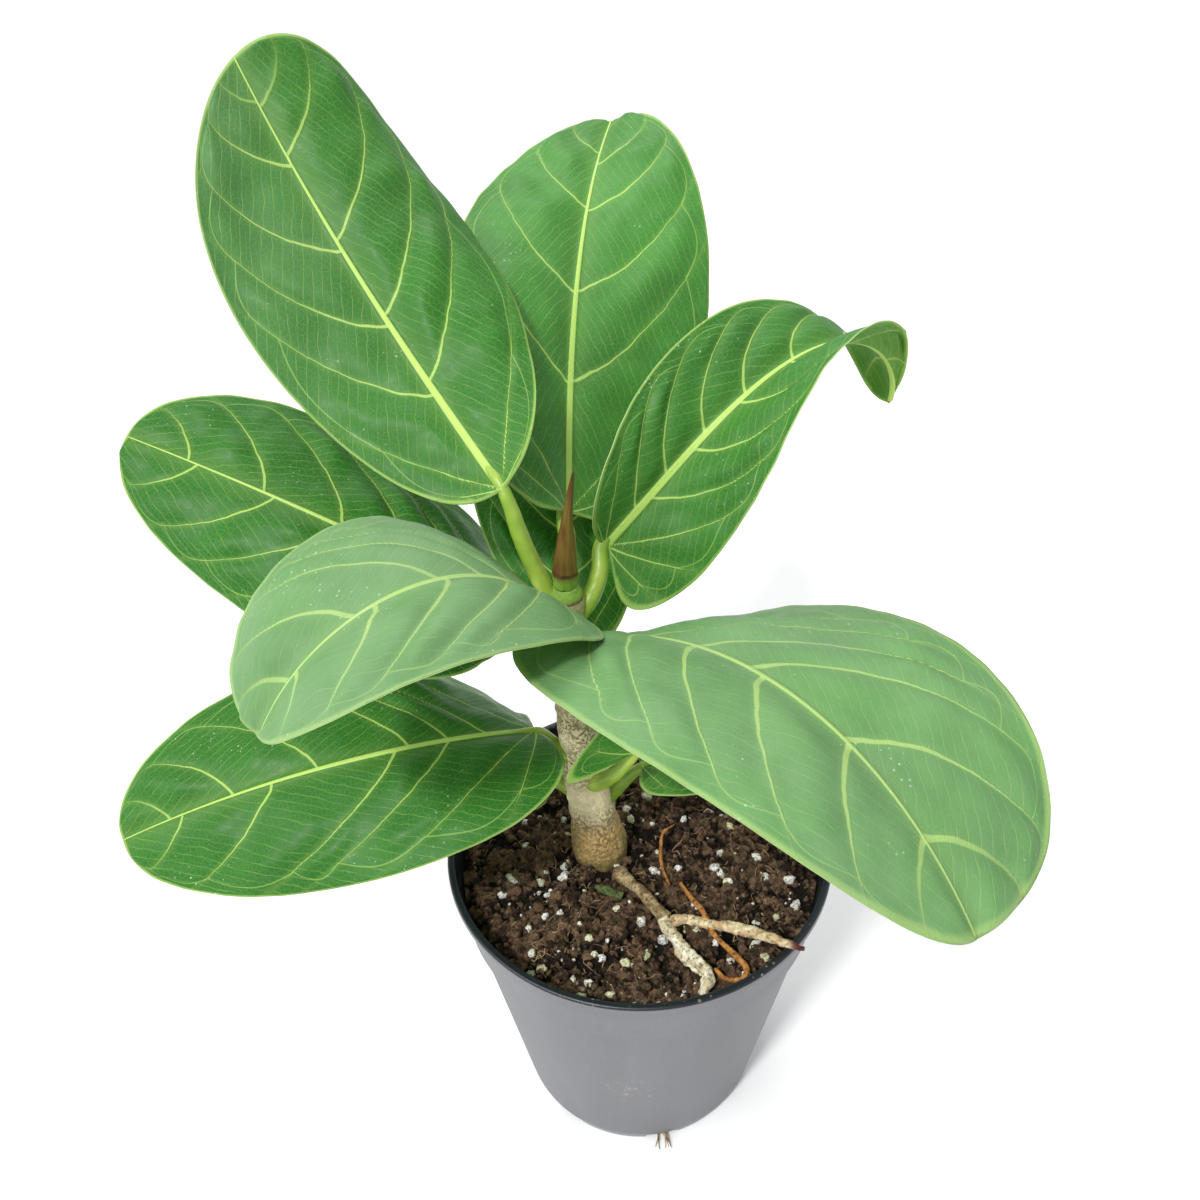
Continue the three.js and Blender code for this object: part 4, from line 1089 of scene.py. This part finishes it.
class FIG_OT_soil(bpy.types.Operator):
    """Build the soil: its bed, loose crumbs, fibres and white grit"""
    bl_idname = "fig.soil"
    bl_label = "Build soil"

    def execute(self, context):
        settings = context.scene.fig_soil
        peat = peat_skin(settings, False)
        loose_peat = peat_skin(settings, True)
        reach = soil_reach(settings.level)
        bm = bmesh.new()
        # The bed keeps how low each point lies among the crumbs round it, which its material turns into
        # painted shade in the gaps.
        painted_shade_depth = bm.verts.layers.float.new("painted_shade_depth")
        made = bmesh.ops.create_grid(bm, x_segments=280, y_segments=280, size=1.0)["verts"]
        for vert in made:
            a, b = vert.co.x, vert.co.y
            x, y = a * math.sqrt(1 - b * b / 2) * reach, b * math.sqrt(1 - a * a / 2) * reach
            height, depth = soil_height(x, y, settings)
            vert.co = (x, y, height)
            vert[painted_shade_depth] = depth
        rim = [edge for edge in bm.edges if edge.is_boundary]
        for height, inset in SOIL_RINGS:
            extruded = bmesh.ops.extrude_edge_only(bm, edges=rim)["geom"]
            rim = [item for item in extruded if isinstance(item, bmesh.types.BMEdge) and item.is_boundary]
            for vert in {vert for edge in rim for vert in edge.verts}:
                flat = Vector((vert.co.x, vert.co.y, 0)).normalized() * (soil_reach(height) - inset)
                vert.co = (flat.x, flat.y, height)
        bmesh.ops.holes_fill(bm, edges=rim, sides=0)
        make_piece("soil_bed", bm, [peat], ("soil",))
        rng = random.Random(SOIL_SEED)

        def spot(inset=1.5):
            spread = (reach - inset) * math.sqrt(rng.random())
            turn = rng.uniform(0, 2 * math.pi)
            return spread * math.cos(turn), spread * math.sin(turn)

        def crumb(bm, i):
            x, y = spot()
            radius = 0.35 + 0.95 * rng.random() ** 2
            height, depth = soil_height(x, y, settings)
            if depth < rng.uniform(1.2, 3):
                place = (x, y, height + radius * rng.uniform(0.0, 0.7))
                add_lump(bm, place, radius, rng.uniform(0.5, 0.9), 0.8, rng)

        make_piece("soil_crumbs", in_batches(settings.crumbs, 150, crumb), [loose_peat])

        def clod(bm, i):
            x, y = spot(3)
            radius = 0.8 + 1.3 * rng.random() ** 2
            place = (x, y, soil_height(x, y, settings)[0] + radius * rng.uniform(-0.1, 0.5))
            add_lump(bm, place, radius, rng.uniform(0.6, 0.9), 1.0, rng, detail=2)

        make_piece("soil_clods", in_batches(settings.clods, 60, clod), [loose_peat])

        def fibre(bm, i):
            x, y = spot(4)
            size = rng.uniform(1.5, 7)
            turn = rng.uniform(0, 2 * math.pi)
            line = []
            for step in range(4):
                px, py = x + math.cos(turn) * size * step / 3, y + math.sin(turn) * size * step / 3
                if math.hypot(px, py) > reach - 1:
                    px, py = px * (reach - 1) / math.hypot(px, py), py * (reach - 1) / math.hypot(px, py)
                lift = rng.uniform(0.1, 0.9) if step in (1, 2) else rng.uniform(-0.3, 0.5)
                line.append((px, py, soil_height(px, py, settings)[0] + 0.3 + lift))
                turn += rng.gauss(0, 0.5)
            thick = rng.uniform(0.07, 0.2)
            add_rod(bm, line, lambda t: thick * (1 - 0.6 * t), 5, 8, material=rng.choice((0, 0, 1)))

        fibres = [fibre_skin("Dry fibre", (0.5, 0.34, 0.18), (0.3, 0.18, 0.09)),
                  fibre_skin("Dark fibre", (0.14, 0.08, 0.045), (0.08, 0.045, 0.025))]
        make_piece("soil_fibres", in_batches(settings.fibres, 60, fibre), fibres)

        def grain(bm, i):
            x, y = spot(2.5)
            radius = rng.uniform(0.3, 0.9) if rng.random() < 0.72 else rng.uniform(1.1, 1.9)
            place = (x, y, soil_height(x, y, settings)[0] + radius * rng.uniform(0.0, 0.5))
            add_lump(bm, place, radius, rng.uniform(0.7, 0.95), 0.5, rng, detail=2 if radius < 1 else 3)

        make_piece("soil_grit", in_batches(settings.grit, 30, grain), [grit_skin()])
        return {"FINISHED"}


# ---------------------------------------------------------------- pot

# Outline of the pot's wall from the middle of its underside, up the outside and down the inside to the
# middle of its floor, in millimetres from the axis and from the foot.
POT_OUTLINE = (
    (0, 0), (12.6, 0), (13, 0.1), (14, 1.8), (14.6, 2), (SLOT_INNER, 2), (SLOT_OUTER, 2), (36.8, 1.9),
    (37.8, 0.2), (38.2, 0), (40.6, 0), (41.1, 0.2), (41.6, 1.6), (42, 3), (42.5, 6), (54.9, 86.0),
    (55.2, 86.5), (56, 86.7), (56.2, 87.2), (57, 93), (59, 104.6), (59.3, 104.9), (59.8, 105.1), (60, 105.6),
    (60, 107.2), (59.8, 107.8), (59.3, 108), (58.3, 108), (57.9, 107.8), (57.7, 107), (54.9, 87.2),
    (53.7, 86.1), (41.6, 8), (40.6, 5.6), (38.4, 4.4), (SLOT_OUTER, 4.4), (SLOT_INNER, 4.4), (0, 4.4),
)


def pot_skin(settings):
    """Moulded grey plastic: fine grain, faint flow lines, scuffs and smudges of dried soil; the lip and
    the inside are smooth and near black."""
    material, tree, shader = new_material("Pot plastic", 0.5)
    place = place_of(tree)
    parts = axes_of(tree, place)
    spread = put(tree, "VectorMath", {0: put(tree, "CombineXYZ", {0: parts[0], 1: parts[1]}).outputs[0]},
                 operation="LENGTH").outputs["Value"]
    # How far a point is inside the middle of the wall, which leans out evenly and steps out at the collar.
    collar = between(tree, parts[2], 0.0862, 0.087, 0.0, 0.0009)
    wall = plus(tree, times(tree, parts[2], 0.1555), plus(tree, collar, 0.041))
    inside = between(tree, minus(tree, wall, spread), -0.0002, 0.0002)
    lip = between(tree, parts[2], 0.1071, 0.1075)
    black = calc(tree, "MAXIMUM", inside, lip)
    flow = scaled(tree, place, (1.0, 1.0, 0.16))
    broad = between(tree, cloud(tree, flow, 32.0, 4.0, 0.6), 0.3, 0.7)
    grain = cloud(tree, place, 1900.0, 2.0)
    body = tint(tree, broad, settings.body_grey, shaded(settings.body_grey, 1.16))
    speckle = specks(tree, place, 1300.0, 0.5, 0.6)
    body = tint(tree, speckle, body, (0.42, 0.42, 0.44), 0.16)
    smudge = between(tree, cloud(tree, place, 260.0, 6.0, 0.75), 0.57, 0.66)
    where = distance_from(tree, place, (-0.003, -0.046, 0.045))
    smudge = times(tree, smudge, between(tree, where, 0.013, 0.004))
    body = tint(tree, smudge, body, (0.5, 0.42, 0.36), 0.7)
    foot = between(tree, parts[2], 0.0046, 0.0034)
    body = tint(tree, foot, body, (0.4, 0.42, 0.44), 0.35)
    base = tint(tree, black, body, settings.lip_black)
    dust = specks(tree, place, 560.0, 0.36, 0.44)
    dusty = times(tree, dust, times(tree, black, 0.6))
    base = tint(tree, dusty, base, (0.4, 0.34, 0.26))
    rough = tint(tree, black, (0.56, 0.56, 0.56), (0.3, 0.3, 0.3))
    rough = plus(tree, rough, times(tree, grain, 0.1))
    set_surface(tree, shader, base, rough, grain, depth=0.00012, strength=0.6)
    return material


def past_first_drain(x, y, settings):
    """Degrees round the pot from its first drain to a point."""
    return math.degrees(math.atan2(y, x)) + 90 - settings.drain_turn


class FIG_OT_pot(bpy.types.Operator):
    """Build the nursery pot: its wall turned about the axis, then the drains and notches cut"""
    bl_idname = "fig.pot"
    bl_label = "Build pot"

    def execute(self, context):
        settings = context.scene.fig_pot
        steps = settings.turn_steps
        bm = bmesh.new()
        verts = [bm.verts.new((radius, 0, height)) for radius, height in POT_OUTLINE]
        edges = [bm.edges.new(pair) for pair in zip(verts, verts[1:])]
        first = math.radians(settings.drain_turn - 90 + 180 / steps * 4)
        bmesh.ops.rotate(bm, verts=verts, cent=(0, 0, 0), matrix=Matrix.Rotation(first, 3, "Z"))
        bmesh.ops.spin(bm, geom=verts + edges, cent=(0, 0, 0), axis=(0, 0, 1), angle=2 * math.pi, steps=steps,
                       use_merge=True)
        bmesh.ops.remove_doubles(bm, verts=bm.verts, dist=1e-3)

        def by_drain(x, y, most):
            turn = past_first_drain(x, y, settings) + DRAIN_STEP / 2
            return abs(turn % DRAIN_STEP - DRAIN_STEP / 2) < most

        half = 360 / steps * 2 + 0.1
        for vert in bm.verts:
            x, y, z = vert.co
            spread = math.hypot(x, y)
            if z < 1.7 and spread > FOOT_RING and by_drain(x, y, half):
                vert.co.z = settings.notch_height if spread > NOTCH_START else 2.0
        holes = []
        for face in bm.faces:
            middle = face.calc_center_median()
            spread = math.hypot(middle.x, middle.y)
            if SLOT_INNER < spread < SLOT_OUTER and by_drain(middle.x, middle.y, half - 360 / steps / 2):
                holes.append(face)
        bmesh.ops.delete(bm, geom=holes, context="FACES")
        open_edges = [edge for edge in bm.edges if edge.is_boundary]
        for drain in range(DRAINS):
            near = [edge for edge in open_edges if self.nearest_drain(edge, settings) == drain]
            bmesh.ops.bridge_loops(bm, edges=near)
        make_piece("pot_shell", bm, [pot_skin(settings)], ("pot",))
        return {"FINISHED"}

    @staticmethod
    def nearest_drain(edge, settings):
        middle = (edge.verts[0].co + edge.verts[1].co) / 2
        return round(past_first_drain(middle.x, middle.y, settings) / DRAIN_STEP) % DRAINS


# ---------------------------------------------------------------- stage

def add_softbox(name, place, aim, size, power):
    """A square soft light that faces a point."""
    lamp = bpy.data.lights.new(name, "AREA")
    lamp.size = size
    lamp.energy = power
    holder = bpy.data.objects.new(name, lamp)
    bpy.context.scene.collection.objects.link(holder)
    holder.location = place
    holder.rotation_euler = (Vector(aim) - Vector(place)).to_track_quat("-Z", "Y").to_euler()


class FIG_OT_stage(bpy.types.Operator):
    """Set up the pale floor, the soft light and the camera"""
    bl_idname = "fig.stage"
    bl_label = "Build stage"

    def execute(self, context):
        scene = context.scene
        settings = scene.fig_stage
        bm = bmesh.new()
        bmesh.ops.create_grid(bm, x_segments=1, y_segments=1, size=12.0)
        mesh = bpy.data.meshes.new("floor")
        bm.to_mesh(mesh)
        bm.free()
        floor = bpy.data.objects.new("floor", mesh)
        scene.collection.objects.link(floor)
        material, tree, shader = new_material("Pale floor", 0.2)
        soft = cloud(tree, place_of(tree), 3.0)
        low = shaded(settings.floor_colour, 0.98)
        set_surface(tree, shader, tint(tree, soft, settings.floor_colour, low), 0.6)
        mesh.materials.append(material)
        world = bpy.data.worlds.new("Studio")
        world.use_nodes = True
        world.node_tree.nodes["Background"].inputs[0].default_value = (0.97, 0.985, 1.0, 1)
        world.node_tree.nodes["Background"].inputs[1].default_value = settings.sky_strength
        scene.world = world
        key = bpy.data.lights.new("Key", "SUN")
        key.energy = settings.key_strength
        key.angle = math.radians(8)
        holder = bpy.data.objects.new("Key", key)
        scene.collection.objects.link(holder)
        holder.rotation_euler = Vector((0.38, 0.66, -1.0)).to_track_quat("-Z", "Y").to_euler()
        add_softbox("Overhead", (-0.2, 0.5, 1.1), (0, 0, 0.2), 0.7, 5.0)
        add_softbox("Left", (-0.8, -0.4, 0.8), (0, 0, 0.2), 0.6, 4.0)
        lens = bpy.data.cameras.new("Camera")
        lens.lens = CAMERA_LENS
        lens.sensor_width = CAMERA_SENSOR
        lens.shift_x = CAMERA_SHIFT
        lens.clip_start = 0.01
        holder = bpy.data.objects.new("Camera", lens)
        scene.collection.objects.link(holder)
        holder.location = CAMERA_PLACE
        holder.rotation_euler = (math.radians(CAMERA_TILT), 0, 0)
        scene.camera = holder
        scene.view_settings.view_transform = "Standard"
        return {"FINISHED"}


# ---------------------------------------------------------------- panel and start

SETTINGS = {
    "fig_leaf": FigLeafSettings,
    "fig_stem": FigStemSettings,
    "fig_pot": FigPotSettings,
    "fig_soil": FigSoilSettings,
    "fig_stage": FigStageSettings,
}
OPERATORS = (FIG_OT_pot, FIG_OT_soil, FIG_OT_stem, FIG_OT_roots, FIG_OT_leaves, FIG_OT_stage)


class FIG_PT_builder(bpy.types.Panel):
    """Settings and buttons of the fig builder"""
    bl_idname = "FIG_PT_builder"
    bl_label = "Potted fig"
    bl_space_type = "VIEW_3D"
    bl_region_type = "UI"
    bl_category = "Fig"

    def draw(self, context):
        for operator in OPERATORS:
            self.layout.operator(operator.bl_idname)
        for name, group in SETTINGS.items():
            box = self.layout.box()
            for label in group.__annotations__:
                box.prop(getattr(context.scene, name), label)


CLASSES = (*SETTINGS.values(), *OPERATORS, FIG_PT_builder)


def register():
    for cls in CLASSES:
        bpy.utils.register_class(cls)
    for name, group in SETTINGS.items():
        setattr(bpy.types.Scene, name, bpy.props.PointerProperty(type=group))


def unregister():
    for name in SETTINGS:
        delattr(bpy.types.Scene, name)
    for cls in reversed(CLASSES):
        bpy.utils.unregister_class(cls)


def main():
    register()
    speck_group()
    vein_group()
    bpy.ops.fig.pot()
    bpy.ops.fig.soil()
    bpy.ops.fig.stem()
    bpy.ops.fig.roots()
    bpy.ops.fig.leaves()
    bpy.ops.fig.stage()


if __name__ == "__main__":
    main()
